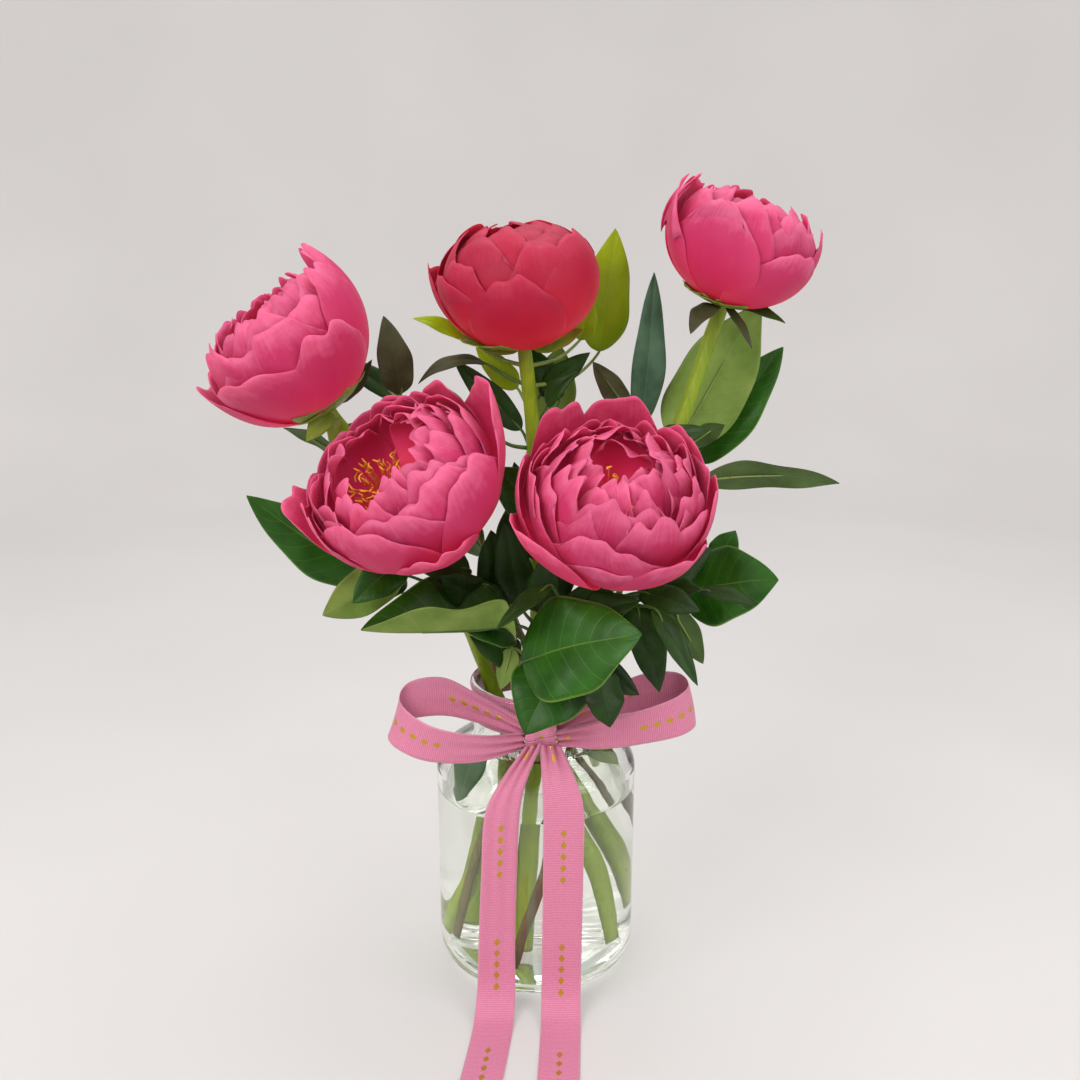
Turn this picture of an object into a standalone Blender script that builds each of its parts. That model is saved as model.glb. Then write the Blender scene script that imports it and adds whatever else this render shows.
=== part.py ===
"""Five cut peonies and glossy foliage standing in a ribboned glass jar.

Metres, +Z up. The origin is the centre of the jar's flat foot, and the bow
and the ribbon's tails are on the -Y side. Every petal, leaf, stem and length
of ribbon is one closed body of its own. Petals are patches of nested
ellipsoids, leaves are bent and folded blades, ribbons are bent strips, and
the stems pass through the neck as a spiral bunch, so that none crosses
another.
"""

import math

import bmesh
import bpy
from mathutils import Vector

COLLECTION = "peony_bouquet_in_jar"

# The jar, all radii from its upright axis
BODY_RADIUS = 0.058
FOOT_CORNER = 0.017
SHOULDER_Z = 0.124
SHOULDER_TOP_Z = 0.140
NECK_RADIUS = 0.0362
NECK_TOP_Z = 0.171
RIM_BEAD = 0.0024
BEAD_INSET = 0.0005
RIM_Z = 0.1765
WALL = 0.003
BASE_THICKNESS = 0.006
JAR_SIDES = 32

# The ribbon
RIBBON_WIDTH = 0.022
RIBBON_THICKNESS = 0.0005
BAND_Z = 0.1625
BAND_GAP = 0.0004
KNOT_CENTRE = (0.003, -0.0440, 0.1600)
KNOT_SIZE = (0.021, 0.0095, 0.021)

# Petals and leaves
PETAL_THICKNESS = 0.0009
LAYER_STEP = 0.0019
FIRST_LAYER_GAP = 0.0024
HEART_INSET = 0.0070
HEART_WALL = 0.0040
PETAL_FOOT_ANGLE = 15
LEAF_THICKNESS = 0.0007

# Stems
STEM_POINTS = 16
STEM_TOP_GAP = 0.0005

# Each flower: where the petals meet the stem, the way it faces, its radius
# across and its half height, the mouth's angle from the foot, and its guard
# petals as (name, azimuth, half span, layer, tip angle) in degrees.
# Azimuth -90 is towards -Y on an upright flower.
FLOWERS = {
    "left_peony": {
        "base": (-0.1100, -0.0140, 0.3340),
        "axis": (-0.50, -0.15, 0.85),
        "radius": 0.0455,
        "half_height": 0.0430,
        "mouth": 140,
        "colour": (0.80, 0.16, 0.32),
        "guards": [
            ("front", -80, 52, 0, 92),
            ("right", 10, 40, 1, 140),
            ("back", 106, 50, 0, 116),
            ("left", 192, 44, 1, 92),
        ],
    },
    "top_centre_peony": {
        "base": (-0.0061, -0.0030, 0.3663),
        "axis": (-0.10, -0.12, 0.99),
        "radius": 0.0445,
        "half_height": 0.0358,
        "mouth": 160,
        "colour": (0.72, 0.07, 0.14),
        "guards": [
            ("left", 210, 55, 0, 128),
            ("right", -30, 55, 0, 132),
            ("back", 90, 55, 0, 128),
        ],
    },
    "top_right_peony": {
        "base": (0.0999, 0.0050, 0.3884),
        "axis": (0.25, -0.15, 0.95),
        "radius": 0.0415,
        "half_height": 0.0350,
        "mouth": 145,
        "colour": (0.80, 0.14, 0.30),
        "guards": [
            ("left", 205, 52, 0, 146),
            ("right", -45, 52, 0, 100),
            ("back", 80, 52, 0, 122),
        ],
    },
    "mid_left_peony": {
        "base": (-0.0530, -0.0500, 0.2740),
        "axis": (-0.30, -0.50, 0.81),
        "radius": 0.0505,
        "half_height": 0.0425,
        "mouth": 128,
        "colour": (0.80, 0.14, 0.26),
        "guards": [
            ("front", -75, 44, 0, 96),
            ("right", 15, 42, 1, 112),
            ("back", 105, 44, 0, 108),
            ("left", 190, 40, 1, 100),
        ],
    },
    "mid_right_peony": {
        "base": (0.0374, -0.0540, 0.2630),
        "axis": (0.05, -0.50, 0.865),
        "radius": 0.0485,
        "half_height": 0.0445,
        "mouth": 128,
        "colour": (0.80, 0.14, 0.28),
        "guards": [
            ("front", -100, 46, 0, 88),
            ("right", -10, 42, 1, 104),
            ("back", 82, 46, 0, 116),
            ("left", 172, 42, 1, 106),
        ],
    },
}

# Each peony stem runs from its cut foot in the jar through the neck to just
# under its flower. Waypoints are (x, y, z).
STEM_FOOT_RADIUS = 0.0046
STEM_TOP_RADIUS = 0.0037
STEMS = {
    "left_peony": [
        (0.0455, -0.0020, 0.0330),
        (0.0260, 0.0160, 0.0780),
        (-0.0020, 0.0235, 0.1500),
        (-0.0400, 0.0170, 0.2200),
        (-0.0820, 0.0020, 0.2900),
    ],
    "top_centre_peony": [
        (-0.0060, 0.0010, 0.0100),
        (-0.0030, 0.0000, 0.0800),
        (0.0010, 0.0000, 0.1500),
        (0.0005, 0.0010, 0.2500),
        (-0.0015, 0.0010, 0.3200),
    ],
    "top_right_peony": [
        (-0.0440, -0.0060, 0.0200),
        (-0.0230, -0.0150, 0.0780),
        (0.0020, -0.0205, 0.1500),
        (0.0380, -0.0120, 0.2300),
        (0.0760, 0.0030, 0.3150),
    ],
    "mid_left_peony": [
        (0.0400, -0.0230, 0.0220),
        (0.0230, 0.0010, 0.0700),
        (0.0020, 0.0120, 0.1120),
        (-0.0190, 0.0110, 0.1500),
        (-0.0380, -0.0030, 0.2100),
        (-0.0470, -0.0330, 0.2520),
    ],
    "mid_right_peony": [
        (-0.0230, 0.0330, 0.0120),
        (-0.0200, 0.0150, 0.0780),
        (-0.0150, -0.0120, 0.1500),
        (0.0120, -0.0270, 0.2050),
        (0.0330, -0.0370, 0.2420),
    ],
}

# Woody foliage stems: foot radius, top radius and waypoints
FOLIAGE_STEMS = {
    "front_foliage_stem": (0.0027, 0.0016, [
        (-0.0410, -0.0190, 0.0230),
        (-0.0290, -0.0220, 0.0780),
        (-0.0110, -0.0240, 0.1450),
        (-0.0040, -0.0270, 0.1765),
        (0.0040, -0.0380, 0.2050),
        (0.0120, -0.0480, 0.2300),
    ]),
    "left_foliage_stem": (0.0028, 0.0016, [
        (0.0485, 0.0130, 0.0600),
        (0.0330, 0.0170, 0.1000),
        (0.0100, 0.0215, 0.1500),
        (-0.0240, 0.0280, 0.2300),
        (-0.0540, 0.0200, 0.3150),
    ]),
    "right_foliage_stem": (0.0028, 0.0016, [
        (-0.0120, -0.0330, 0.0140),
        (0.0060, -0.0240, 0.0780),
        (0.0225, -0.0070, 0.1500),
        (0.0500, 0.0110, 0.2300),
        (0.0760, 0.0240, 0.2950),
    ]),
}

# Each leaf: base, tip, width, the way its upper face looks, how far the
# middle arches towards that face, and the fold along the midrib.
LEAVES = {
    "olive_leaf_left": (
        (-0.0711, -0.0150, 0.3424), (-0.0772, -0.0250, 0.3838), 0.0190, (0.2, -1, 0.1), 0.003, 0.25),
    "grey_leaf_left": (
        (-0.1050, 0.0080, 0.3010), (-0.1401, 0.0100, 0.3201), 0.0180, (0, 0.6, 0.8), 0.003, 0.15),
    "dark_leaf_left": (
        (-0.0900, -0.0060, 0.2370), (-0.1520, -0.0350, 0.2910), 0.0340, (-0.45, -0.75, 0.5), 0.004, 0.20),
    "pale_leaf_low_left": (
        (-0.0707, -0.0420, 0.2560), (-0.1079, -0.0700, 0.2376), 0.0250, (0.1, -0.7, 0.7), 0.004, 0.25),
    "front_leaf_left": (
        (-0.0107, -0.0560, 0.2255), (-0.0865, -0.0850, 0.2364), 0.0420, (-0.1, -0.50, 0.86), 0.006, 0.30),
    "narrow_leaf_front": (
        (0.0074, -0.0750, 0.2550), (-0.0186, -0.0990, 0.2400), 0.0110, (-0.3, -0.6, 0.7), 0.002, 0.15),
    "front_leaf_right": (
        (-0.0070, -0.0700, 0.2120), (0.0513, -0.1000, 0.2400), 0.0480, (0.10, -0.82, 0.56), 0.004, 0.15),
    "dark_leaf_over_knot": (
        (0.0280, -0.0600, 0.2040), (-0.0027, -0.0810, 0.1800), 0.0300, (-0.2, -0.90, 0.35), 0.004, 0.20),
    "small_leaf_over_bow": (
        (0.0330, -0.0660, 0.2060), (0.0381, -0.0790, 0.1810), 0.0170, (0.5, -0.85, 0.1), 0.002, 0.20),
    "hanging_leaf_right": (
        (0.0515, -0.0520, 0.2380), (0.0637, -0.0740, 0.1974), 0.0180, (0.1, -0.9, 0.3), 0.004, 0.15),
    "narrow_leaf_right": (
        (0.0600, -0.0660, 0.2400), (0.0815, -0.0860, 0.2058), 0.0120, (0.2, -0.9, 0.4), 0.003, 0.20),
    "light_leaf_right": (
        (0.0720, -0.0420, 0.2321), (0.0880, -0.0580, 0.2069), 0.0160, (0.1, -0.9, 0.4), 0.002, 0.15),
    "broad_leaf_right": (
        (0.0800, -0.0200, 0.2354), (0.1293, -0.0380, 0.2456), 0.0440, (0.1, -0.85, 0.5), 0.004, 0.12),
    "long_leaf_right": (
        (0.0894, -0.0060, 0.2930), (0.1629, -0.0200, 0.2947), 0.0250, (0.0, 0.75, 0.66), 0.006, 0.12),
    "large_leaf_behind_right": (
        (0.0800, 0.0200, 0.3080), (0.1248, 0.0220, 0.3868), 0.0460, (-0.2, 0.95, -0.1), 0.004, 0.10),
    "folded_leaf_behind_right": (
        (0.0920, 0.0420, 0.2954), (0.1430, 0.0440, 0.3611), 0.0280, (-0.3, -0.9, 0.3), 0.003, 0.30),
    "pointed_leaf_right": (
        (0.0577, 0.0130, 0.3200), (0.0641, 0.0130, 0.4044), 0.0200, (0.3, -0.95, 0.0), 0.004, 0.20),
    "lime_leaf_top": (
        (0.0360, 0.0330, 0.3600), (0.0422, 0.0200, 0.4273), 0.0260, (0.2, -0.97, 0.0), 0.003, 0.10),
    "narrow_leaf_under_top": (
        (-0.0271, 0.0000, 0.3570), (-0.0625, -0.0100, 0.3470), 0.0110, (0, -0.5, 0.86), 0.008, 0.15),
    "dark_narrow_leaf_top": (
        (-0.0080, 0.0060, 0.3198), (-0.0433, 0.0000, 0.3586), 0.0120, (-0.4, -0.7, 0.55), -0.005, 0.20),
    "small_leaf_under_top": (
        (0.0060, -0.0010, 0.3340), (0.0225, -0.0100, 0.3540), 0.0120, (-0.4, -0.7, 0.4), 0.004, 0.20),
    "dark_leaf_centre": (
        (0.0000, -0.0230, 0.2830), (-0.0200, -0.0330, 0.3040), 0.0200, (0.0, -0.95, 0.3), 0.002, 0.15),
}

# Ribbon runs: centre points, with the strip's width direction and its share
# of the full width at each point.
LEFT_LOOP = [
    ((-0.0088, -0.0470, 0.1580), (0.0, -0.2, 1.0), 0.50),
    ((-0.0300, -0.0570, 0.1580), (0.1, -0.3, 1.0), 0.85),
    ((-0.0540, -0.0610, 0.1620), (0.2, -0.2, 1.0), 1.00),
    ((-0.0700, -0.0570, 0.1680), (0.3, 0.0, 1.0), 1.00),
    ((-0.0765, -0.0480, 0.1730), (0.3, 0.2, 1.0), 1.00),
    ((-0.0700, -0.0390, 0.1780), (0.2, 0.3, 1.0), 1.00),
    ((-0.0500, -0.0350, 0.1790), (0.0, 0.2, 1.0), 0.95),
    ((-0.0280, -0.0380, 0.1720), (-0.2, 0.0, 1.0), 0.80),
    ((-0.0088, -0.0425, 0.1640), (-0.1, 0.0, 1.0), 0.50),
]
RIGHT_LOOP = [
    ((0.0148, -0.0470, 0.1600), (0.0, -0.2, 1.0), 0.50),
    ((0.0350, -0.0560, 0.1660), (0.0, -0.2, 1.0), 0.85),
    ((0.0600, -0.0600, 0.1730), (-0.1, -0.2, 1.0), 1.00),
    ((0.0770, -0.0560, 0.1770), (-0.2, 0.0, 1.0), 1.00),
    ((0.0840, -0.0470, 0.1800), (-0.2, 0.1, 1.0), 1.00),
    ((0.0770, -0.0385, 0.1830), (-0.1, 0.2, 1.0), 1.00),
    ((0.0560, -0.0355, 0.1810), (0.1, 0.1, 1.0), 0.95),
    ((0.0330, -0.0385, 0.1730), (0.2, 0.0, 1.0), 0.80),
    ((0.0148, -0.0425, 0.1640), (0.1, 0.0, 1.0), 0.50),
]
TAIL_CLEARANCE_Z = 0.0006
LEFT_TAIL = [
    ((-0.0040, -0.0520, 0.1530), (1.0, 0.0, 0.3), 0.55),
    ((-0.0120, -0.0580, 0.1400), (1.0, 0.1, 0.3), 0.75),
    ((-0.0180, -0.0612, 0.1220), (1.0, 0.2, 0.1), 0.88),
    ((-0.0200, -0.0614, 0.0850), (1.0, 0.2, 0.0), 0.90),
    ((-0.0215, -0.0614, 0.0450), (1.0, 0.1, 0.0), 0.92),
    ((-0.0220, -0.0620, 0.0180), (1.0, 0.0, 0.0), 0.96),
    ((-0.0228, -0.0690, 0.0050), (1.0, 0.0, 0.0), 1.00),
    ((-0.0240, -0.0830, TAIL_CLEARANCE_Z), (1.0, 0.0, 0.0), 1.00),
    ((-0.0278, -0.1170, TAIL_CLEARANCE_Z), (1.0, -0.1, 0.0), 1.00),
    ((-0.0340, -0.1620, TAIL_CLEARANCE_Z), (1.0, -0.1, 0.0), 1.00),
    ((-0.0370, -0.2050, TAIL_CLEARANCE_Z), (1.0, 0.0, 0.0), 1.00),
]
RIGHT_TAIL = [
    ((0.0095, -0.0520, 0.1530), (1.0, 0.0, -0.1), 0.62),
    ((0.0135, -0.0590, 0.1370), (1.0, 0.0, -0.1), 0.90),
    ((0.0152, -0.0614, 0.1200), (1.0, 0.0, 0.0), 1.00),
    ((0.0150, -0.0616, 0.0850), (1.0, 0.0, 0.0), 1.00),
    ((0.0146, -0.0616, 0.0450), (1.0, 0.0, 0.0), 1.00),
    ((0.0142, -0.0624, 0.0180), (1.0, 0.0, 0.0), 1.00),
    ((0.0140, -0.0690, 0.0050), (1.0, 0.0, 0.0), 1.00),
    ((0.0136, -0.0830, TAIL_CLEARANCE_Z), (1.0, 0.0, 0.0), 1.00),
    ((0.0120, -0.1170, TAIL_CLEARANCE_Z), (1.0, 0.0, 0.0), 1.00),
    ((0.0095, -0.1600, TAIL_CLEARANCE_Z), (1.0, 0.1, 0.0), 1.00),
    ((0.0105, -0.1980, TAIL_CLEARANCE_Z), (1.0, 0.0, 0.0), 1.00),
]
# The two tails leave the knot one behind the other
TAIL_TOP_SHIFT = 0.0010

for old in list(bpy.data.objects):
    bpy.data.objects.remove(old, do_unlink=True)
parts = bpy.data.collections.new(COLLECTION)
bpy.context.scene.collection.children.link(parts)


def material(name, colour, roughness, metallic=0.0):
    """A Principled material with the part's own colour and finish."""
    made = bpy.data.materials.new(name)
    made.use_nodes = True
    shader = made.node_tree.nodes["Principled BSDF"]
    shader.inputs["Base Color"].default_value = (*colour, 1.0)
    shader.inputs["Roughness"].default_value = roughness
    shader.inputs["Metallic"].default_value = metallic
    return made


def add_part(name, data, colour, roughness):
    """Links one named object with its own material into the collection."""
    made = bpy.data.objects.new(name, data)
    made.data.materials.append(material(name + "_material", colour, roughness))
    parts.objects.link(made)
    return made


def through(points, share):
    """The Catmull-Rom curve through the points, at a share from 0 to 1."""
    last = len(points) - 1
    place = share * last
    index = min(int(place), last - 1)
    t = place - index
    p1, p2 = Vector(points[index]), Vector(points[index + 1])
    p0 = Vector(points[index - 1]) if index else 2 * p1 - p2
    p3 = Vector(points[index + 2]) if index + 2 <= last else 2 * p2 - p1
    return 0.5 * (2 * p1 + (p2 - p0) * t + (2 * p0 - 5 * p1 + 4 * p2 - p3) * t**2
                  + (3 * p1 - p0 - 3 * p2 + p3) * t**3)


def sheet(name, columns, rows, place, thickness, colour, roughness):
    """A grid whose points go where place(u, v) says, given a thickness.

    u runs across from -1 to 1 and v runs along from 0 to 1.
    """
    grid = bmesh.new()
    bmesh.ops.create_grid(grid, x_segments=columns, y_segments=rows, size=1.0)
    for vert in grid.verts:
        vert.co = place(vert.co.x, (vert.co.y + 1) / 2)
    mesh = bpy.data.meshes.new(name)
    grid.to_mesh(mesh)
    grid.free()
    mesh.shade_smooth()
    made = add_part(name, mesh, colour, roughness)
    wall = made.modifiers.new("thickness", "SOLIDIFY")
    wall.thickness = thickness
    wall.offset = 0.0
    return made


def turned(name, profile, sides, colour, roughness):
    """A closed body turned round Z from (radius, z) points."""
    mesh = bpy.data.meshes.new(name)
    outline = bmesh.new()
    verts = [outline.verts.new((radius, 0, z)) for radius, z in profile]
    for one, two in zip(verts, verts[1:]):
        outline.edges.new((one, two))
    outline.to_mesh(mesh)
    outline.free()
    made = add_part(name, mesh, colour, roughness)
    screw = made.modifiers.new("turn", "SCREW")
    screw.steps = screw.render_steps = sides
    screw.use_merge_vertices = True
    screw.merge_threshold = 0.00001
    screw.use_smooth_shade = True
    return made


def arc(centre, radius, start, end, count):
    """Points on a circular arc in the profile's plane, angles in degrees."""
    points = []
    for step in range(count + 1):
        angle = math.radians(start + (end - start) * step / count)
        points.append((centre[0] + radius * math.cos(angle), centre[1] + radius * math.sin(angle)))
    return points


def shoulder(inset, count):
    """The S-curved shoulder from the neck out to the body, top to bottom."""
    points = []
    for step in range(count + 1):
        share = step / count
        swell = math.sin(share * math.pi / 2) ** 1.2
        radius = NECK_RADIUS + (BODY_RADIUS - NECK_RADIUS) * swell
        fall = 1 - math.cos(share * math.pi / 2)
        points.append((radius - inset, SHOULDER_TOP_Z - (SHOULDER_TOP_Z - SHOULDER_Z) * fall))
    return points


def glass_jar():
    """The wide-mouthed jar: inside first, over the rim, then down the outside to the foot."""
    inner_corner = FOOT_CORNER - WALL
    corner = (BODY_RADIUS - FOOT_CORNER, BASE_THICKNESS + inner_corner)
    inside = arc(corner, inner_corner, -90, 0, 3)
    inside += reversed(shoulder(WALL, 4))
    inside.append((NECK_RADIUS - WALL, NECK_TOP_Z))
    rim = arc((NECK_RADIUS - BEAD_INSET, RIM_Z - RIM_BEAD), RIM_BEAD, 150, -30, 5)
    outside = [(NECK_RADIUS, NECK_TOP_Z)] + shoulder(0.0, 4)
    foot = arc((BODY_RADIUS - FOOT_CORNER, FOOT_CORNER), FOOT_CORNER, 0, -90, 4)
    profile = [(0.0, BASE_THICKNESS)] + inside + rim + outside + foot + [(0.0, 0.0)]
    turned("glass_jar", profile, JAR_SIDES, (0.86, 0.90, 0.88), 0.03)


def ribbon_colour():
    return (0.75, 0.22, 0.42)


def neck_band():
    """One turn of ribbon round the neck, a gap clear of the glass."""
    inner = NECK_RADIUS + BAND_GAP
    outer = inner + RIBBON_THICKNESS
    low, high = BAND_Z - RIBBON_WIDTH / 2, BAND_Z + RIBBON_WIDTH / 2
    high = min(high, NECK_TOP_Z)
    turned("ribbon_neck_band", [(inner, low), (inner, high), (outer, high), (outer, low), (inner, low)],
           JAR_SIDES, ribbon_colour(), 0.6)


def knot():
    """The bow's knot, a soft rounded block in front of the neck band."""
    cage = bmesh.new()
    bmesh.ops.create_cube(cage, size=1.0)
    for vert in cage.verts:
        vert.co = Vector(KNOT_CENTRE) + Vector(a * b for a, b in zip(vert.co, KNOT_SIZE))
    mesh = bpy.data.meshes.new("ribbon_knot")
    cage.to_mesh(mesh)
    cage.free()
    mesh.shade_smooth()
    made = add_part("ribbon_knot", mesh, ribbon_colour(), 0.6)
    soft = made.modifiers.new("soft", "SUBSURF")
    soft.levels = soft.render_levels = 2


def ribbon_run(name, points, rows, top_shift=0.0):
    """A strip of ribbon along its centre points, gathered where the width share is small."""
    centres = [p[0] for p in points]
    across = [p[1] for p in points]
    shares = [(p[2], 0, 0) for p in points]

    def place(u, v):
        side = through(across, v).normalized()
        width = through(shares, v).x * RIBBON_WIDTH
        lift = Vector((0, -top_shift * (1 - v) ** 4, 0))
        return through(centres, v) + lift + side * (u * width / 2)

    return sheet(name, 1, rows, place, RIBBON_THICKNESS, ribbon_colour(), 0.6)


def bow():
    ribbon_run("ribbon_loop_left", LEFT_LOOP, 22)
    ribbon_run("ribbon_loop_right", RIGHT_LOOP, 22)
    ribbon_run("ribbon_tail_left", LEFT_TAIL, 30, top_shift=TAIL_TOP_SHIFT)
    ribbon_run("ribbon_tail_right", RIGHT_TAIL, 30)


def flower_frame(flower):
    """The flower's own axes: right, away and along the way it faces."""
    up = Vector(flower["axis"]).normalized()
    right = (Vector((1, 0, 0)) - up * up.x).normalized()
    return right, up.cross(right), up


def on_flower(flower, azimuth, angle, inset):
    """A point on the flower's ellipsoid, this far inside its outermost layer.

    The angle runs from the foot (0) over the belly (90) to the top (180).
    """
    right, away, up = flower_frame(flower)
    across = (flower["radius"] - inset) * math.sin(angle)
    height = flower["half_height"] - (flower["half_height"] - inset) * math.cos(angle)
    return (Vector(flower["base"]) + right * (across * math.cos(azimuth))
            + away * (across * math.sin(azimuth)) + up * height)


def petal_heart(name, flower):
    """The mass of inner petals as one hollow cup, open at the flower's mouth."""
    inset = HEART_INSET
    mouth = math.radians(flower["mouth"])
    steps = 7
    outer, inner = [], []
    for step in range(steps + 1):
        angle = mouth * step / steps
        for line, depth in ((outer, inset), (inner, inset + HEART_WALL)):
            line.append(((flower["radius"] - depth) * math.sin(angle),
                         flower["half_height"] - (flower["half_height"] - depth) * math.cos(angle)))
    profile = inner + list(reversed(outer))
    made = turned(name, profile, 16, flower["colour"], 0.6)
    made.rotation_mode = "QUATERNION"
    made.rotation_quaternion = Vector(flower["axis"]).to_track_quat("Z", "Y")
    made.location = flower["base"]


def guard_petal(name, flower, azimuth, span, layer, tip):
    """One broad outer petal, a rounded patch of the ellipsoid at its layer."""
    inset = HEART_INSET - FIRST_LAYER_GAP - PETAL_THICKNESS / 2 - LAYER_STEP * layer

    def place(u, v):
        outline = math.sin(math.pi * (0.13 + 0.72 * v)) ** 0.75
        turn = math.radians(azimuth + u * span * outline)
        notch = 1 - 0.07 * abs(u) ** 3
        angle = math.radians(PETAL_FOOT_ANGLE + (tip - PETAL_FOOT_ANGLE) * v * notch)
        return on_flower(flower, turn, angle, inset)

    sheet(name, 5, 5, place, PETAL_THICKNESS, flower["colour"], 0.6)


def flowers():
    for name, flower in FLOWERS.items():
        petal_heart(name + "_heart", flower)
        for side, azimuth, span, layer, tip in flower["guards"]:
            guard_petal(f"{name}_guard_petal_{side}", flower, azimuth, span, layer, tip)


def stem(name, waypoints, foot_radius, top_radius, colour):
    """A tapering tube through its waypoints, capped at both cuts."""
    curve = bpy.data.curves.new(name, "CURVE")
    curve.dimensions = "3D"
    curve.bevel_depth = 1.0
    curve.bevel_resolution = 2
    curve.use_fill_caps = True
    spline = curve.splines.new("POLY")
    spline.points.add(STEM_POINTS - 1)
    for index, point in enumerate(spline.points):
        share = index / (STEM_POINTS - 1)
        point.co = (*through(waypoints, share), 1.0)
        point.radius = foot_radius + (top_radius - foot_radius) * share
    return add_part(name, curve, colour, 0.45)


def stems():
    for name, waypoints in STEMS.items():
        flower = FLOWERS[name]
        up = Vector(flower["axis"]).normalized()
        top = Vector(flower["base"]) + up * (HEART_INSET - STEM_TOP_GAP)
        below = Vector(flower["base"]) - up * 0.010
        stem(name + "_stem", waypoints + [tuple(below), tuple(top)],
             STEM_FOOT_RADIUS, STEM_TOP_RADIUS, (0.24, 0.34, 0.05))
    for name, (foot_radius, top_radius, waypoints) in FOLIAGE_STEMS.items():
        stem(name, waypoints, foot_radius, top_radius, (0.16, 0.11, 0.04))


def leaf(name, base, tip, width, facing, arch, fold):
    """A pointed blade, arched along its length and folded at the midrib."""
    base, tip = Vector(base), Vector(tip)
    along = tip - base
    up = Vector(facing)
    up = (up - along * (up.dot(along) / along.length_squared)).normalized()
    side = along.normalized().cross(up)

    def place(u, v):
        half = width / 2 * max(math.sin(math.pi * v**0.85) ** 0.7, 0.05)
        rise = arch * 4 * v * (1 - v) + fold * abs(u) * half
        return base + along * v + up * rise + side * (u * half)

    sheet(name, 4, 7, place, LEAF_THICKNESS, (0.05, 0.13, 0.03), 0.35)


def foliage():
    for name, blade in LEAVES.items():
        leaf(name, *blade)


glass_jar()
neck_band()
knot()
bow()
stems()
flowers()
foliage()
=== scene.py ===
import math
import random

import bpy
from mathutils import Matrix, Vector, noise


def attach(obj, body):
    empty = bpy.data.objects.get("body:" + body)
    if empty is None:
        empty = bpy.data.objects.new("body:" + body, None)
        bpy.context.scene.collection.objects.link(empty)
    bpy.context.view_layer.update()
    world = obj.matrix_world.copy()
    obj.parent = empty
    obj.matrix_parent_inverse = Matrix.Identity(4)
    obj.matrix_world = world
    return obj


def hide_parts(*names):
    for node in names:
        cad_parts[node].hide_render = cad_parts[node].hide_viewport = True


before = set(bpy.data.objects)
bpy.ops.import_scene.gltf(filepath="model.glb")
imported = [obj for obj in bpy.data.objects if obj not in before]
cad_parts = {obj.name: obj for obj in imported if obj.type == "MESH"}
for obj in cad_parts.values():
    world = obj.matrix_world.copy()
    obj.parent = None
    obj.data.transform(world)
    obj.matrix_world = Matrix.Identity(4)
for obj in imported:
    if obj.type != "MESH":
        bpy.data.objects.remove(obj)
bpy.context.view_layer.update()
scene = bpy.context.scene
mm = 0.001
print("frame loaded,", len(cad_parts), "nodes")


# helpers

def toLinear(hexColour):
    # sRGB hex to the linear colour that a socket takes
    parts = [int(hexColour[i:i + 2], 16) / 255 for i in (1, 3, 5)]
    return [c / 12.92 if c <= 0.04045 else ((c + 0.055) / 1.055) ** 2.4 for c in parts] + [1.0]


def setInputs(tree, node, inputs):
    # values and links for a node's inputs; a whole node stands for its first output in use
    pairs = inputs.items() if isinstance(inputs, dict) else enumerate(inputs)
    for key, value in pairs:
        if isinstance(value, bpy.types.Node):
            value = next(socket for socket in value.outputs if socket.enabled)
        if isinstance(value, bpy.types.NodeSocket):
            tree.links.new(value, node.inputs[key])
        else:
            node.inputs[key].default_value = value


def addNode(tree, kind, settings=None, inputs=(), stops=()):
    # one node: its settings, or just its operation, then its inputs and a ramp's colour stops
    node = tree.nodes.new("ShaderNode" + kind)
    if isinstance(settings, str):
        settings = {"operation": settings}
    for key, value in (settings or {}).items():
        setattr(node, key, value)
    setInputs(tree, node, inputs)
    for index, (place, colour) in enumerate(stops):
        elements = node.color_ramp.elements
        element = elements[index] if index < 2 else elements.new(place)
        element.position = place
        element.color = toLinear(colour)
    return node


smooth = {"interpolation_type": "SMOOTHSTEP"}
colours = {"data_type": "RGBA"}


def newMaterial(name, inputs):
    made = bpy.data.materials.new(name)
    made.use_nodes = True
    shader = made.node_tree.nodes["Principled BSDF"]
    setInputs(made.node_tree, shader, inputs)
    return made, made.node_tree, shader


def selectOnly(*pieces):
    bpy.ops.object.select_all(action="DESELECT")
    for piece in pieces:
        piece.select_set(True)
    bpy.context.view_layer.objects.active = pieces[0]


def finishSheet(piece, thickness, underSlot=0):
    # wall thickness below the modelled face, then smooth shading
    selectOnly(piece)
    wall = piece.modifiers.new("wall", "SOLIDIFY")
    wall.thickness = thickness
    wall.offset = -1.0
    wall.material_offset = underSlot
    bpy.ops.object.modifier_apply(modifier="wall")
    piece.data.shade_smooth()


def makeSheet(name, columns, rows, place, thickness, looks, mapUv=None):
    # a grid laid out by place(u, v), u from -1 to 1 across and v from 0 to 1 along;
    # a second look goes on the underside
    bpy.ops.object.select_all(action="DESELECT")
    bpy.ops.mesh.primitive_grid_add(x_subdivisions=columns, y_subdivisions=rows, size=2)
    piece = bpy.context.object
    piece.name = piece.data.name = name
    for vert in piece.data.vertices:
        vert.co = place(vert.co.x, (vert.co.y + 1) / 2)
    if mapUv:
        for corner in piece.data.uv_layers.active.data:
            corner.uv = mapUv(*corner.uv)
    giveMaterials(piece, *looks)
    finishSheet(piece, thickness, len(looks) - 1)
    return piece


def joinPieces(name, pieces):
    selectOnly(*pieces)
    bpy.ops.object.join()
    joined = bpy.context.object
    joined.name = joined.data.name = name
    return joined


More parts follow.
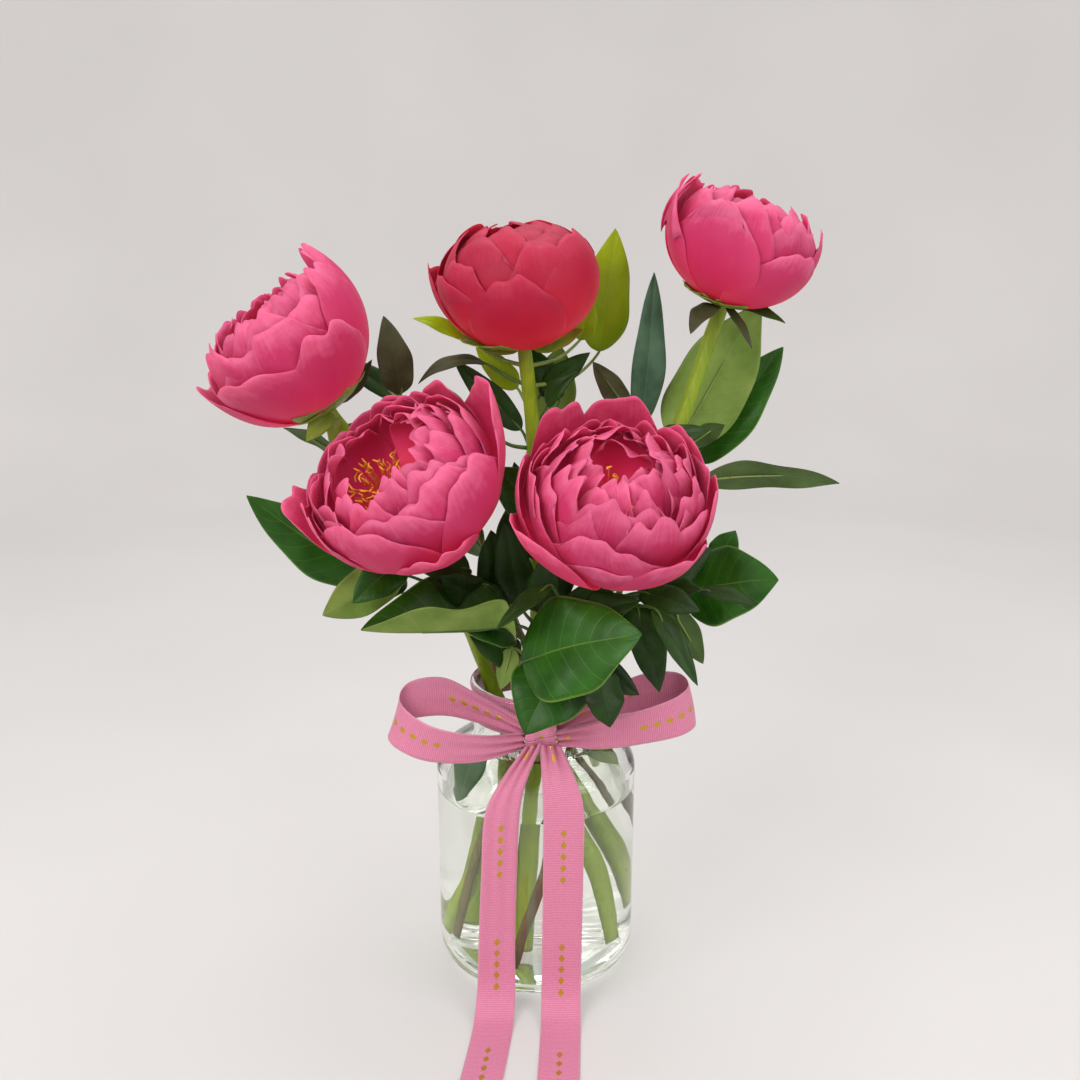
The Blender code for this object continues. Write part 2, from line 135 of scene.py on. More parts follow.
def through(points, share):
    # Catmull-Rom curve through the points, share from 0 to 1
    last = len(points) - 1
    place = min(max(share, 0), 1) * last
    index = min(int(place), last - 1)
    t = place - index
    p1, p2 = Vector(points[index]), Vector(points[index + 1])
    p0 = Vector(points[index - 1]) if index else 2 * p1 - p2
    p3 = Vector(points[index + 2]) if index + 2 <= last else 2 * p2 - p1
    return 0.5 * (2 * p1 + (p2 - p0) * t + (2 * p0 - 5 * p1 + 4 * p2 - p3) * t ** 2
                  + (3 * p1 - p0 - 3 * p2 + p3) * t ** 3)


def smoothStep(low, high, value):
    t = min(max((value - low) / (high - low), 0), 1)
    return t * t * (3 - 2 * t)


def makeTube(name, waypoints, radiusAt, rings=48, sides=14):
    # a capped tube along the smooth curve through its waypoints in mm
    curve = bpy.data.curves.new(name, "CURVE")
    curve.dimensions = "3D"
    curve.bevel_depth = 1.0
    curve.bevel_resolution = (sides - 4) // 2
    curve.use_fill_caps = True
    spline = curve.splines.new("POLY")
    spline.points.add(rings - 1)
    for index, point in enumerate(spline.points):
        share = index / (rings - 1)
        point.co = (*through(waypoints, share) * mm, 1.0)
        point.radius = radiusAt(share)
    tube = bpy.data.objects.new(name, curve)
    scene.collection.objects.link(tube)
    selectOnly(tube)
    bpy.ops.object.convert(target="MESH")
    tube = bpy.context.object
    bpy.ops.object.mode_set(mode="EDIT")
    bpy.ops.mesh.select_all(action="SELECT")
    bpy.ops.mesh.remove_doubles(threshold=0.00001)
    bpy.ops.mesh.normals_make_consistent(inside=False)
    bpy.ops.object.mode_set(mode="OBJECT")
    tube.data.shade_smooth()
    return tube


def spinProfile(name, profile, steps=96):
    # a profile of (radius, z) points spun round Z, poles and seam merged
    mesh = bpy.data.meshes.new(name)
    edges = [(i, i + 1) for i in range(len(profile) - 1)]
    mesh.from_pydata([(r, 0, z) for r, z in profile], edges, [])
    piece = bpy.data.objects.new(name, mesh)
    scene.collection.objects.link(piece)
    selectOnly(piece)
    bpy.ops.object.mode_set(mode="EDIT")
    bpy.ops.mesh.select_all(action="SELECT")
    bpy.ops.mesh.spin(steps=steps, angle=math.tau, center=(0, 0, 0), axis=(0, 0, 1))
    bpy.ops.mesh.select_all(action="SELECT")
    bpy.ops.mesh.remove_doubles(threshold=0.00001)
    bpy.ops.mesh.normals_make_consistent(inside=False)
    bpy.ops.object.mode_set(mode="OBJECT")
    piece.data.shade_smooth()
    return piece


def giveMaterials(piece, *looks):
    piece.data.materials.clear()
    for look in looks:
        piece.data.materials.append(look)


def settle(piece, slot, *nodes):
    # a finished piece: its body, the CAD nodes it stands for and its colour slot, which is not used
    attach(piece, "root")
    if nodes:
        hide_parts(*nodes)


# camera, floor and soft studio light

studio = {
    "cameraPlace": (0.0024, -0.627, 0.423),
    "cameraTilt": 14.7,
    "lens": 38.6,
    "filmWidth": 36,
    "floorRadius": 1.25,
    "sweepRadius": 0.55,
    "wallTop": 1.5,
    "floorColour": "#ABA8A6",
    "floorLight": "#AFACAA",
    "floorGlow": 0.62,
    "jarGlow": 1.25,
    "glowReach": (0.040, 0.056),
    "bounces": (24, 16),
    "airColour": "#F3F4F6",
    "airStrength": 0.70,
    # place, aim, size, watts
    "lamps": [((-0.75, -1.00, 1.15), (0, 0, 0.28), 0.90, 15.0),
              ((0.95, -0.75, 0.95), (0, 0, 0.25), 0.90, 7.0),
              ((0.10, 0.25, 1.50), (0, 0, 0.30), 1.00, 9.0)],
}


def buildStudio():
    place, tilt = studio["cameraPlace"], math.radians(90 - studio["cameraTilt"])
    bpy.ops.object.camera_add(location=place, rotation=(tilt, 0, 0))
    camera = bpy.context.object
    camera.data.lens, camera.data.sensor_width = studio["lens"], studio["filmWidth"]
    camera.data.clip_start = 0.01
    scene.camera = camera

    flat, bend = studio["floorRadius"], studio["sweepRadius"]
    profile = [(0, 0), (flat / 2, 0)]
    for step in range(17):
        turn = math.radians(90 * step / 16)
        profile.append((flat + bend * math.sin(turn), bend - bend * math.cos(turn)))
    profile.append((flat + bend, studio["wallTop"]))
    floor = spinProfile("studio_floor", profile, 64)
    paper, tree, shader = newMaterial("paperBackdrop", {"Roughness": 0.9, "Specular IOR Level": 0.2})
    # seamless paper: matt, very slightly uneven
    where = addNode(tree, "TexCoord").outputs["Object"]
    cloud = addNode(tree, "TexNoise", None, {"Vector": where, "Scale": 3.0, "Detail": 2.0})
    tone = addNode(tree, "ValToRGB", None, [cloud],
                   [(0.3, studio["floorColour"]), (0.7, studio["floorLight"])])
    # a little light of its own, as the bright room all round would give; it is stronger
    # under the jar, for the light that real glass and water pass down to the floor
    fromJar = addNode(tree, "VectorMath", "LENGTH", [where])
    glow = addNode(tree, "MapRange", smooth,
                   [fromJar, *studio["glowReach"], studio["jarGlow"], studio["floorGlow"]])
    setInputs(tree, shader, {"Base Color": tone, "Emission Color": tone, "Emission Strength": glow})
    giveMaterials(floor, paper)

    world = bpy.data.worlds.new("softAir")
    scene.world = world
    world.use_nodes = True
    air = world.node_tree.nodes["Background"]
    air.inputs["Color"].default_value = toLinear(studio["airColour"])
    air.inputs["Strength"].default_value = studio["airStrength"]
    for lampPlace, aim, size, watts in studio["lamps"]:
        bpy.ops.object.light_add(type="AREA", location=lampPlace)
        lamp = bpy.context.object
        lamp.data.size, lamp.data.energy = size, watts
        lamp.rotation_euler = (Vector(aim) - Vector(lampPlace)).to_track_quat("-Z", "Y").to_euler()
        lamp.visible_camera = False
    scene.view_settings.view_transform = "Standard"
    # light has to cross many walls of glass and water before it leaves the jar again
    scene.cycles.max_bounces, scene.cycles.glossy_bounces = studio["bounces"]
    scene.cycles.transmission_bounces, scene.cycles.transparent_max_bounces = studio["bounces"]
    print("studio ready")


# materials

def uvShares(tree):
    # across and along a sheet, and how far from its middle line: 0 there, 1 at both edges
    split = addNode(tree, "SeparateXYZ", None, [addNode(tree, "UVMap", {"uv_map": "UVMap"})])
    side = split.outputs["X"]
    for operation, value in (("SUBTRACT", 0.5), ("ABSOLUTE", 0.0), ("MULTIPLY", 2.0)):
        side = addNode(tree, "Math", operation, [side, value])
    return split.outputs["X"], split.outputs["Y"], side


def petalMaterial(name, deep, middle, light, rim):
    # fresh petal: thin soft tissue that scatters light, satin, finely veined towards its tip
    made, tree, shader = newMaterial(name, {
        "Roughness": 0.50, "Specular IOR Level": 0.28, "IOR": 1.40, "Sheen Weight": 0.04,
        "Subsurface Weight": 0.16, "Subsurface Radius": (0.006, 0.0016, 0.0020), "Subsurface Scale": 1.0})
    across, along, side = uvShares(tree)
    tone = addNode(tree, "Attribute", {"attribute_name": "tone"}).outputs["Fac"]
    where = addNode(tree, "TexCoord").outputs["Object"]
    # mottling a few millimetres across
    mottle = addNode(tree, "TexNoise", None, {"Vector": where, "Scale": 140.0, "Detail": 3.0})
    # veins run along the petal, about 1 mm apart, and differ from petal to petal
    fan = addNode(tree, "CombineXYZ", None, [across, along, tone])
    drawnOut = addNode(tree, "VectorMath", "MULTIPLY", [fan, (34.0, 2.2, 9.0)])
    veins = addNode(tree, "TexNoise", None, {"Vector": drawnOut, "Scale": 1.0, "Detail": 4.0})
    # from the deep foot to the pale rim, with mottling and veins in the passage
    reach = addNode(tree, "Math", "MULTIPLY_ADD", [mottle, 0.28, along])
    reach = addNode(tree, "Math", "MULTIPLY_ADD", [veins, 0.16, reach])
    reach = addNode(tree, "Math", "SUBTRACT", [reach, 0.22])
    body = addNode(tree, "ValToRGB", None, [reach],
                   [(0.05, deep), (0.42, middle), (0.80, light), (1.0, rim)])
    edge = addNode(tree, "Math", "POWER", [side, 2.6])
    edge = addNode(tree, "Math", "MULTIPLY", [edge, 0.198])
    edged = addNode(tree, "Mix", colours, {0: edge, 6: body, 7: toLinear(rim)})
    shade = addNode(tree, "MapRange", None, [tone, 0.0, 1.0, 0.84, 1.10])
    toned = addNode(tree, "HueSaturation", None, {"Value": shade, "Color": edged})
    bump = addNode(tree, "Bump", None, {"Strength": 0.30, "Distance": 0.2 * mm, "Height": veins})
    # painted light: the petals glow a little towards their foot, for the light handed on from petal to petal
    # that keeps the deep places of a flower warm
    footGlow = addNode(tree, "MapRange", smooth, [along, 0.30, 0.85, 0.26, 0.03])
    setInputs(tree, shader, {"Base Color": toned, "Normal": bump,
                             "Emission Color": toned, "Emission Strength": footGlow})
    # light that passes through the thin tissue
    passed = addNode(tree, "BsdfTranslucent", None, {"Color": toned})
    both = addNode(tree, "MixShader", None, [0.34, shader, passed])
    setInputs(tree, tree.nodes["Material Output"], {"Surface": both})
    return made


def leafMaterial(name, dark, bright, rib, roughness, coat, ribShare=0.30, marginHighlight=0.15):
    # leaf face: waxy cuticle over veined tissue, so a faint gloss on upper faces and none below
    made, tree, shader = newMaterial(name, {
        "IOR": 1.45, "Specular IOR Level": 0.25, "Coat Weight": coat, "Coat Roughness": 0.24,
        "Subsurface Weight": 0.05, "Subsurface Radius": (0.0010, 0.0020, 0.0005), "Subsurface Scale": 1.0})
    across, along, side = uvShares(tree)
    where = addNode(tree, "TexCoord").outputs["Object"]
    cloud = addNode(tree, "TexNoise", None, {"Vector": where, "Scale": 60.0, "Detail": 4.0})
    # side veins leave the midrib at a slant, eight pairs, and bend forward towards the margin
    slant = addNode(tree, "Math", "POWER", [side, 1.25])
    count = addNode(tree, "Math", "MULTIPLY", [along, 8.0])
    count = addNode(tree, "Math", "MULTIPLY_ADD", [slant, -1.6, count])
    count = addNode(tree, "Math", "MULTIPLY_ADD", [cloud, 0.25, count])
    near = addNode(tree, "Math", "PINGPONG", [count, 0.5])
    sideVein = addNode(tree, "MapRange", smooth, [near, 0.0, 0.06, 0.35, 0.0])
    midrib = addNode(tree, "MapRange", smooth, [side, 0.01, 0.05, 1.0, 0.0])
    vein = addNode(tree, "Math", "MAXIMUM", [midrib, sideVein])
    ground = addNode(tree, "ValToRGB", None, [cloud], [(0.30, dark), (0.72, bright)])
    share = addNode(tree, "Math", "MULTIPLY", [vein, ribShare])
    veined = addNode(tree, "Mix", colours, {0: share, 6: ground, 7: toLinear(rib)})
    # painted highlight: a pale band along the margin, mixed towards the rib colour
    margin = addNode(tree, "MapRange", smooth, [side, 0.94, 1.0, 0.0, marginHighlight])
    coloured = addNode(tree, "Mix", colours, {0: margin, 6: veined, 7: toLinear(rib)})
    # fine net between the sunken veins, cells about 1.1 mm
    net = addNode(tree, "TexVoronoi", {"feature": "DISTANCE_TO_EDGE"}, {"Vector": where, "Scale": 900.0})
    relief = addNode(tree, "Math", "MULTIPLY", [net, 0.5])
    relief = addNode(tree, "Math", "SUBTRACT", [relief, vein])
    bump = addNode(tree, "Bump", None, {"Strength": 0.5, "Distance": 0.45 * mm, "Height": relief})
    rough = addNode(tree, "MapRange", None, [cloud, 0.3, 0.7, roughness - 0.06, roughness + 0.10])
    setInputs(tree, shader, {"Base Color": coloured, "Normal": bump, "Roughness": rough})
    passed = addNode(tree, "BsdfTranslucent", None, {"Color": coloured})
    both = addNode(tree, "MixShader", None, [0.12, shader, passed])
    setInputs(tree, tree.nodes["Material Output"], {"Surface": both})
    return made


def stemMaterial(name, low, high, scar, roughness):
    # stem skin: long fibres under a satin cuticle, with small corky scars
    made, tree, shader = newMaterial(name, {
        "Roughness": roughness, "IOR": 1.45, "Subsurface Weight": 0.05,
        "Subsurface Radius": (0.0015, 0.0020, 0.0005), "Subsurface Scale": 1.0})
    where = addNode(tree, "TexCoord").outputs["Object"]
    # the stems run mostly upright, so the grain is drawn out along Z
    drawn = addNode(tree, "Mapping", None, {"Vector": where, "Scale": (1.0, 1.0, 0.10)})
    grain = addNode(tree, "TexNoise", None, {"Vector": drawn, "Scale": 900.0, "Detail": 4.0})
    patch = addNode(tree, "TexNoise", None, {"Vector": where, "Scale": 45.0, "Detail": 3.0})
    both = addNode(tree, "Math", "ADD", [grain, patch])
    ground = addNode(tree, "ValToRGB", None, [addNode(tree, "Math", "MULTIPLY", [both, 0.5])],
                     [(0.35, low), (0.65, high)])
    # scars about 4 mm apart
    dots = addNode(tree, "TexVoronoi", None, {"Vector": drawn, "Scale": 260.0})
    scarred = addNode(tree, "MapRange", smooth, [dots, 0.08, 0.20, 0.8, 0.0])
    skin = addNode(tree, "Mix", colours, {0: scarred, 6: ground, 7: toLinear(scar)})
    bump = addNode(tree, "Bump", None, {"Strength": 0.5, "Distance": 0.3 * mm, "Height": grain})
    setInputs(tree, shader, {"Base Color": skin, "Normal": bump})
    return made


def clearMaterial(name, tint, ior, shadow, waviness, depth):
    # clear body that lets the lamps through to what stands inside
    made, tree, shader = newMaterial(name, {
        "Base Color": toLinear(tint), "Roughness": 0.0, "IOR": ior, "Transmission Weight": 1.0})
    where = addNode(tree, "TexCoord").outputs["Object"]
    wave = addNode(tree, "TexNoise", None, {"Vector": where, "Scale": waviness, "Detail": 1.0})
    bump = addNode(tree, "Bump", None, {"Strength": 0.25, "Distance": depth, "Height": wave})
    setInputs(tree, shader, {"Normal": bump})
    path = addNode(tree, "LightPath")
    clear = addNode(tree, "BsdfTransparent", None, {"Color": toLinear(shadow)})
    both = addNode(tree, "MixShader", None, [path.outputs["Is Shadow Ray"], shader, clear])
    setInputs(tree, tree.nodes["Material Output"], {"Surface": both})
    return made


def ribbonMaterial(name, ground, shadow, edging, foil):
    # woven grosgrain: polyester ribs straight across the ribbon, a soft sheen, a tight selvedge
    made, tree, shader = newMaterial(name, {
        "IOR": 1.50, "Sheen Weight": 0.35, "Sheen Roughness": 0.4, "Specular IOR Level": 0.35})
    # the UV map counts ribbon widths along the run, so 22 of its parts are a millimetre each
    across, along, side = uvShares(tree)
    # ribs 0.5 mm apart on the real one, drawn 1 mm apart so that they show
    ribs = addNode(tree, "Math", "MULTIPLY", [along, 22.0])
    ribs = addNode(tree, "Math", "PINGPONG", [ribs, 0.5])
    # painted shade: the grooves between the ribs are darkened towards the shadow colour
    grooveShade = addNode(tree, "MapRange", None, [ribs, 0.0, 0.5, 0.75, 0.0])
    shadedRibs = addNode(tree, "Mix", colours, {0: grooveShade, 6: toLinear(ground), 7: toLinear(shadow)})
    where = addNode(tree, "TexCoord").outputs["Object"]
    cloud = addNode(tree, "TexNoise", None, {"Vector": where, "Scale": 900.0, "Detail": 3.0})
    fuzz = addNode(tree, "MapRange", None, [cloud, 0.3, 0.7, 0.93, 1.05])
    toned = addNode(tree, "HueSaturation", None, {"Value": fuzz, "Color": shadedRibs})
    selvedge = addNode(tree, "MapRange", smooth, [side, 0.90, 0.96, 0.0, 1.0])
    share = addNode(tree, "Math", "MULTIPLY", [selvedge, 0.35])
    cloth = addNode(tree, "Mix", colours, {0: share, 6: toned, 7: toLinear(edging)})
    # gold foil lozenges 3.8 by 5.2 mm along the middle: 7 mm apart, in groups that start every 70 mm
    lozenge = addNode(tree, "Math", "PINGPONG", [along, 3.5 / 22])
    lozenge = addNode(tree, "Math", "MULTIPLY", [lozenge, 22 / 2.6])
    lozenge = addNode(tree, "Math", "MULTIPLY_ADD", [side, 11 / 1.9, lozenge])
    lozenge = addNode(tree, "Math", "LESS_THAN", [lozenge, 1.0])
    group = addNode(tree, "Math", "ADD", [along, 0.3])
    group = addNode(tree, "Math", "PINGPONG", [group, 35 / 22])
    group = addNode(tree, "Math", "LESS_THAN", [group, 0.80])
    gilded = addNode(tree, "Math", "MULTIPLY", [lozenge, group])
    surface = addNode(tree, "Mix", colours, {0: gilded, 6: cloth, 7: toLinear(foil)})
    metal = addNode(tree, "Math", "MULTIPLY", [gilded, 0.75])
    rough = addNode(tree, "Math", "MULTIPLY_ADD", [gilded, -0.2, 0.55])
    height = addNode(tree, "Math", "MULTIPLY", [ribs, 1.6])
    height = addNode(tree, "Math", "MULTIPLY_ADD", [selvedge, 0.8, height])
    bump = addNode(tree, "Bump", None, {"Strength": 0.6, "Distance": 0.18 * mm, "Height": height})
    setInputs(tree, shader, {"Base Color": surface, "Metallic": metal, "Roughness": rough, "Normal": bump})
    return made


def antherMaterial(name, low, high, roughness):
    # ripe anthers and their threads: grainy with pollen
    made, tree, shader = newMaterial(name, {
        "Roughness": roughness, "Subsurface Weight": 0.1, "Subsurface Radius": (0.001, 0.0006, 0.0002)})
    where = addNode(tree, "TexCoord").outputs["Object"]
    grain = addNode(tree, "TexNoise", None, {"Vector": where, "Scale": 1500.0, "Detail": 3.0})
    tone = addNode(tree, "ValToRGB", None, [grain], [(0.3, low), (0.7, high)])
    bump = addNode(tree, "Bump", None, {"Strength": 0.5, "Distance": 0.2 * mm, "Height": grain})
    setInputs(tree, shader, {"Base Color": tone, "Normal": bump})
    return made


materials = {made.name: made for made in (
    petalMaterial("pinkPetal", "#DA2C44", "#D53162", "#D73D70", "#EC6F99"),
    petalMaterial("coralPetal", "#DA1E32", "#D0223C", "#BE2342", "#CC3A58"),
    leafMaterial("darkLeaf", "#182F0A", "#2A4C12", "#4E6B30", 0.42, 0.08),
    leafMaterial("brightLeaf", "#1F4A0B", "#316815", "#8CB04A", 0.40, 0.08, 0.30, 0.60),
    leafMaterial("deepLeaf", "#183C08", "#27590E", "#86A845", 0.38, 0.08, 0.28, 0.65),
    leafMaterial("blueLeaf", "#365440", "#55755A", "#7E9A78", 0.42, 0.15),
    leafMaterial("paleUnderside", "#6C8A38", "#8CA452", "#A9B676", 0.60, 0.0),
    leafMaterial("greyUnderside", "#47602F", "#5F7844", "#7F9566", 0.55, 0.0),
    leafMaterial("oliveLeaf", "#34331F", "#4B4A2D", "#6A6842", 0.45, 0.1),
    leafMaterial("limeLeaf", "#8CA40A", "#A4BA12", "#C4D050", 0.42, 0.08, 0.35),
    leafMaterial("sepal", "#6E8426", "#93A23C", "#A9B45A", 0.42, 0.1),
    stemMaterial("greenStem", "#6C8A0C", "#90A218", "#7A6A30", 0.45),
    stemMaterial("leafStalk", "#34501A", "#55702A", "#4A4522", 0.45),
    stemMaterial("paleStalk", "#748A3E", "#92A257", "#6A6A38", 0.55),
    stemMaterial("woodyStem", "#4E4A20", "#6E6230", "#3C2C18", 0.60),
    clearMaterial("clearGlass", "#FDFEFD", 1.50, "#FDFEFD", 9.0, 0.4 * mm),
    clearMaterial("freshWater", "#FBFDF9", 1.33, "#FDFEFC", 4.0, 0.2 * mm),
    ribbonMaterial("grosgrain", "#DC88A6", "#BA5F80", "#E7A3BA", "#C79A3E"),
    antherMaterial("anther", "#D9820F", "#F2B838", 0.7),
    antherMaterial("filament", "#B93A1E", "#DB7A2E", 0.5),
)}
print("materials ready")


# the glass jar and its water

jar = {
    "bodyRadius": 0.058, "footCorner": 0.017, "shoulderLow": 0.124, "shoulderTop": 0.140,
    "neckRadius": 0.0362, "neckTop": 0.171, "bead": 0.0024, "beadIn": 0.0005, "rimTop": 0.1765,
    "wall": 0.003, "baseThickness": 0.006, "dome": 0.0022, "waterTop": 0.112, "overlap": 0.00005,
    # radius and height under the foot, from its ring to the middle
    "hollowFoot": [(0.036, 0.0), (0.033, 0.0009), (0.0, 0.0015)],
    # the water climbs a little where it meets the glass: steps from the wall and from its level.
    # Rings close to that edge keep the wall and the surface straight under smooth shading
    "waterEdge": [(0.0, -0.0030), (0.0, 0.0005), (0.0, 0.0012), (-0.0008, 0.0004), (-0.0025, 0.0),
                  (-0.0040, 0.0), (-0.0080, 0.0)],
}


def shoulderPoints(inset, count):
    points = []
    for step in range(count + 1):
        turn = step / count * math.pi / 2
        radius = jar["neckRadius"] + (jar["bodyRadius"] - jar["neckRadius"]) * math.sin(turn) ** 1.2
        drop = (jar["shoulderTop"] - jar["shoulderLow"]) * (1 - math.cos(turn))
        points.append((radius - inset, jar["shoulderTop"] - drop))
    return points


def arcPoints(centre, radius, start, end, count):
    turns = [math.radians(start + (end - start) * step / count) for step in range(count + 1)]
    return [(centre[0] + radius * math.cos(t), centre[1] + radius * math.sin(t)) for t in turns]


def innerFloor(inset, count=6):
    # the thick bottom rises a little towards the middle, as pressed glass does
    corner = jar["footCorner"] - jar["wall"]
    edge = jar["bodyRadius"] - jar["wall"] - corner
    points = []
    for step in range(count):
        radius = edge * step / count
        points.append((radius, jar["baseThickness"] + jar["dome"] * (1 - (radius / edge) ** 2) - inset))
    centre = (edge, jar["baseThickness"] + corner)
    return points + arcPoints(centre, corner + inset, -90, 0, 8)


def buildJar():
    neckRadius, bead = jar["neckRadius"], jar["bead"]
    profile = innerFloor(0.0) + list(reversed(shoulderPoints(jar["wall"], 12)))
    profile.append((neckRadius - jar["wall"], jar["neckTop"]))
    profile += arcPoints((neckRadius - jar["beadIn"], jar["rimTop"] - bead), bead, 160, -35, 12)
    profile += [(neckRadius, jar["neckTop"])] + shoulderPoints(0.0, 12)
    corner = jar["footCorner"]
    profile += arcPoints((jar["bodyRadius"] - corner, corner), corner, 0, -90, 10)
    profile += jar["hollowFoot"]
    glass = spinProfile("jar_glass_body", profile)
    giveMaterials(glass, materials["clearGlass"])
    settle(glass, "jar_glass", "glass_jar")

    reach, top = jar["overlap"], jar["waterTop"]
    wallRadius = jar["bodyRadius"] - jar["wall"] + reach
    profile = innerFloor(reach) + [(wallRadius + inward, top + lift) for inward, lift in jar["waterEdge"]]
    profile.append((0.0, top))
    water = spinProfile("jar_water", profile)
    giveMaterials(water, materials["freshWater"])
    settle(water, "jar_glass")
    print("jar and water ready")


# the ribbon: each run is its centres in mm, width directions and shares of the full width

ribbon = {
    "width": 0.022, "thickness": 0.00035, "bandMiddle": 0.1664, "bandRadius": 0.0368,
    "knotCentre": (0.003, -0.0440, 0.1600), "knotWidth": 0.0175, "knotDepth": 0.0046, "knotHeight": 0.0100,
    "pleat": 0.0045, "crown": 0.0006,
}
leftLoop = [
    ((-6, -47, 158), (0.0, -0.2, 1.0), 0.42),
    ((-30, -57, 158), (0.1, -0.3, 1.0), 0.85),
    ((-54, -61, 162), (0.2, -0.2, 1.0), 1.00),
    ((-70, -57, 168), (0.3, 0.0, 1.0), 1.00),
    ((-76.5, -48, 173), (0.3, 0.2, 1.0), 1.00),
    ((-70, -39, 178), (0.2, 0.3, 1.0), 1.00),
    ((-50, -35, 179), (0.0, 0.2, 1.0), 0.95),
    ((-28, -38, 172), (-0.2, 0.0, 1.0), 0.80),
    ((-6, -42.5, 164), (-0.1, 0.0, 1.0), 0.42),
]
rightLoop = [
    ((12, -47, 160), (0.0, -0.2, 1.0), 0.42),
    ((35, -56, 166), (0.0, -0.2, 1.0), 0.85),
    ((60, -60, 173), (-0.1, -0.2, 1.0), 1.00),
    ((77, -56, 177), (-0.2, 0.0, 1.0), 1.00),
    ((84, -47, 180), (-0.2, 0.1, 1.0), 1.00),
    ((77, -38.5, 183), (-0.1, 0.2, 1.0), 1.00),
    ((56, -35.5, 181), (0.1, 0.1, 1.0), 0.95),
    ((33, -38.5, 173), (0.2, 0.0, 1.0), 0.80),
    ((12, -42.5, 164), (0.1, 0.0, 1.0), 0.42),
]
leftTail = [
    ((-1, -50, 157), (1.0, 0.0, 0.3), 0.45),
    ((-12, -58, 140), (1.0, 0.1, 0.3), 0.75),
    ((-18, -61.2, 122), (1.0, 0.2, 0.1), 0.88),
    ((-20, -61.4, 85), (1.0, 0.2, 0.0), 0.90),
    ((-21.5, -61.4, 45), (1.0, 0.1, 0.0), 0.92),
    ((-22, -62, 18), (1.0, 0.0, 0.0), 0.96),
    ((-22.8, -69, 5), (1.0, 0.0, 0.0), 1.00),
    ((-24, -83, 0.6), (1.0, 0.0, 0.0), 1.00),
    ((-27.8, -117, 0.6), (1.0, -0.1, 0.0), 1.00),
    ((-34, -162, 0.6), (1.0, -0.1, 0.0), 1.00),
    ((-37, -205, 0.6), (1.0, 0.0, 0.0), 1.00),
]
rightTail = [
    ((8, -50, 157), (1.0, 0.0, -0.1), 0.50),
    ((13.5, -59, 137), (1.0, 0.0, -0.1), 0.90),
    ((15.2, -61.4, 120), (1.0, 0.0, 0.0), 1.00),
    ((15, -61.6, 85), (1.0, 0.0, 0.0), 1.00),
    ((14.6, -61.6, 45), (1.0, 0.0, 0.0), 1.00),
    ((14.2, -62.4, 18), (1.0, 0.0, 0.0), 1.00),
    ((14, -69, 5), (1.0, 0.0, 0.0), 1.00),
    ((13.6, -83, 0.6), (1.0, 0.0, 0.0), 1.00),
    ((12, -117, 0.6), (1.0, 0.0, 0.0), 1.00),
    ((9.5, -160, 0.6), (1.0, 0.1, 0.0), 1.00),
    ((10.5, -198, 0.6), (1.0, 0.0, 0.0), 1.00),
]


def runLength(centres, steps=200):
    # running length along a run's middle line, up to its total
    lengths, last = [0.0], through(centres, 0)
    for step in range(1, steps + 1):
        here = through(centres, step / steps)
        lengths.append(lengths[-1] + (here - last).length)
        last = here
    return lengths


def ribbonRun(name, points, nodes, rows=120):
    centres = [[value * mm for value in centre] for centre, _, _ in points]
    sides = [side for _, side, _ in points]
    shares = [(share, 0, 0) for _, _, share in points]
    lengths = runLength(centres)
    full = ribbon["width"]

    def place(u, v):
        side = through(sides, v).normalized()
        ahead = (through(centres, v + 0.004) - through(centres, v - 0.004)).normalized()
        face = ahead.cross(side).normalized()
        share = through(shares, v).x
        # where it is gathered into the knot, the spare width lies in soft pleats
        pleat = math.cos(u * 2.5 * math.pi) * (1 - share) * ribbon["pleat"]
        crown = ribbon["crown"] * (1 - u * u) * share
        return through(centres, v) + side * (u * share * full / 2) + face * (pleat + crown)

    def mapUv(x, y):
        spot = y * (len(lengths) - 1)
        low = min(int(spot), len(lengths) - 2)
        run = lengths[low] + (lengths[low + 1] - lengths[low]) * (spot - low)
        return (x, run / full)

    piece = makeSheet(name, 12, rows, place, ribbon["thickness"], [materials["grosgrain"]], mapUv)
    settle(piece, "ribbon", *nodes)
    return piece


def buildRibbon():
    ringLength = math.tau * ribbon["bandRadius"]

    def placeBand(u, v):
        turn = -math.pi / 2 + math.tau * 0.999 * v
        radius = ribbon["bandRadius"] + 0.0003 + 0.00025 * math.sin(5 * turn + 3 * u)
        height = ribbon["bandMiddle"] + u * ribbon["width"] / 2 * (0.97 + 0.03 * math.cos(turn))
        return Vector((radius * math.cos(turn), radius * math.sin(turn), height))

    band = makeSheet("ribbon_band", 8, 128, placeBand, ribbon["thickness"], [materials["grosgrain"]],
                     lambda x, y: (x, y * ringLength / ribbon["width"]))
    settle(band, "ribbon", "ribbon_neck_band")

    ribbonRun("ribbon_left_loop", leftLoop, ["ribbon_loop_left"])
    ribbonRun("ribbon_right_loop", rightLoop, ["ribbon_loop_right"])
    ribbonRun("ribbon_left_tail", leftTail, ["ribbon_tail_left"], 200)
    ribbonRun("ribbon_right_tail", rightTail, ["ribbon_tail_right"], 200)

    middle = Vector(ribbon["knotCentre"])
    around = math.tau * (ribbon["knotDepth"] + ribbon["knotHeight"]) / 2

    def placeKnot(u, v):
        # one turn over the gathered middle, pulled tight at its centre line
        turn = math.tau * v + 0.2 * u
        squeeze = 1 - 0.10 * math.cos(u * math.pi * 2.2) + 0.12 * u * u
        width = ribbon["knotWidth"] / 2 * (0.86 + 0.10 * math.cos(turn))
        out = Vector((0, -math.cos(turn) * ribbon["knotDepth"], math.sin(turn) * ribbon["knotHeight"]))
        return middle + Vector((u * width, 0, 0)) + out * squeeze

    wrap = makeSheet("ribbon_wrap", 14, 72, placeKnot, ribbon["thickness"], [materials["grosgrain"]],
                     lambda x, y: (x, y * around / ribbon["width"]))
    settle(wrap, "ribbon", "ribbon_knot")
    print("ribbon ready")


# flowers

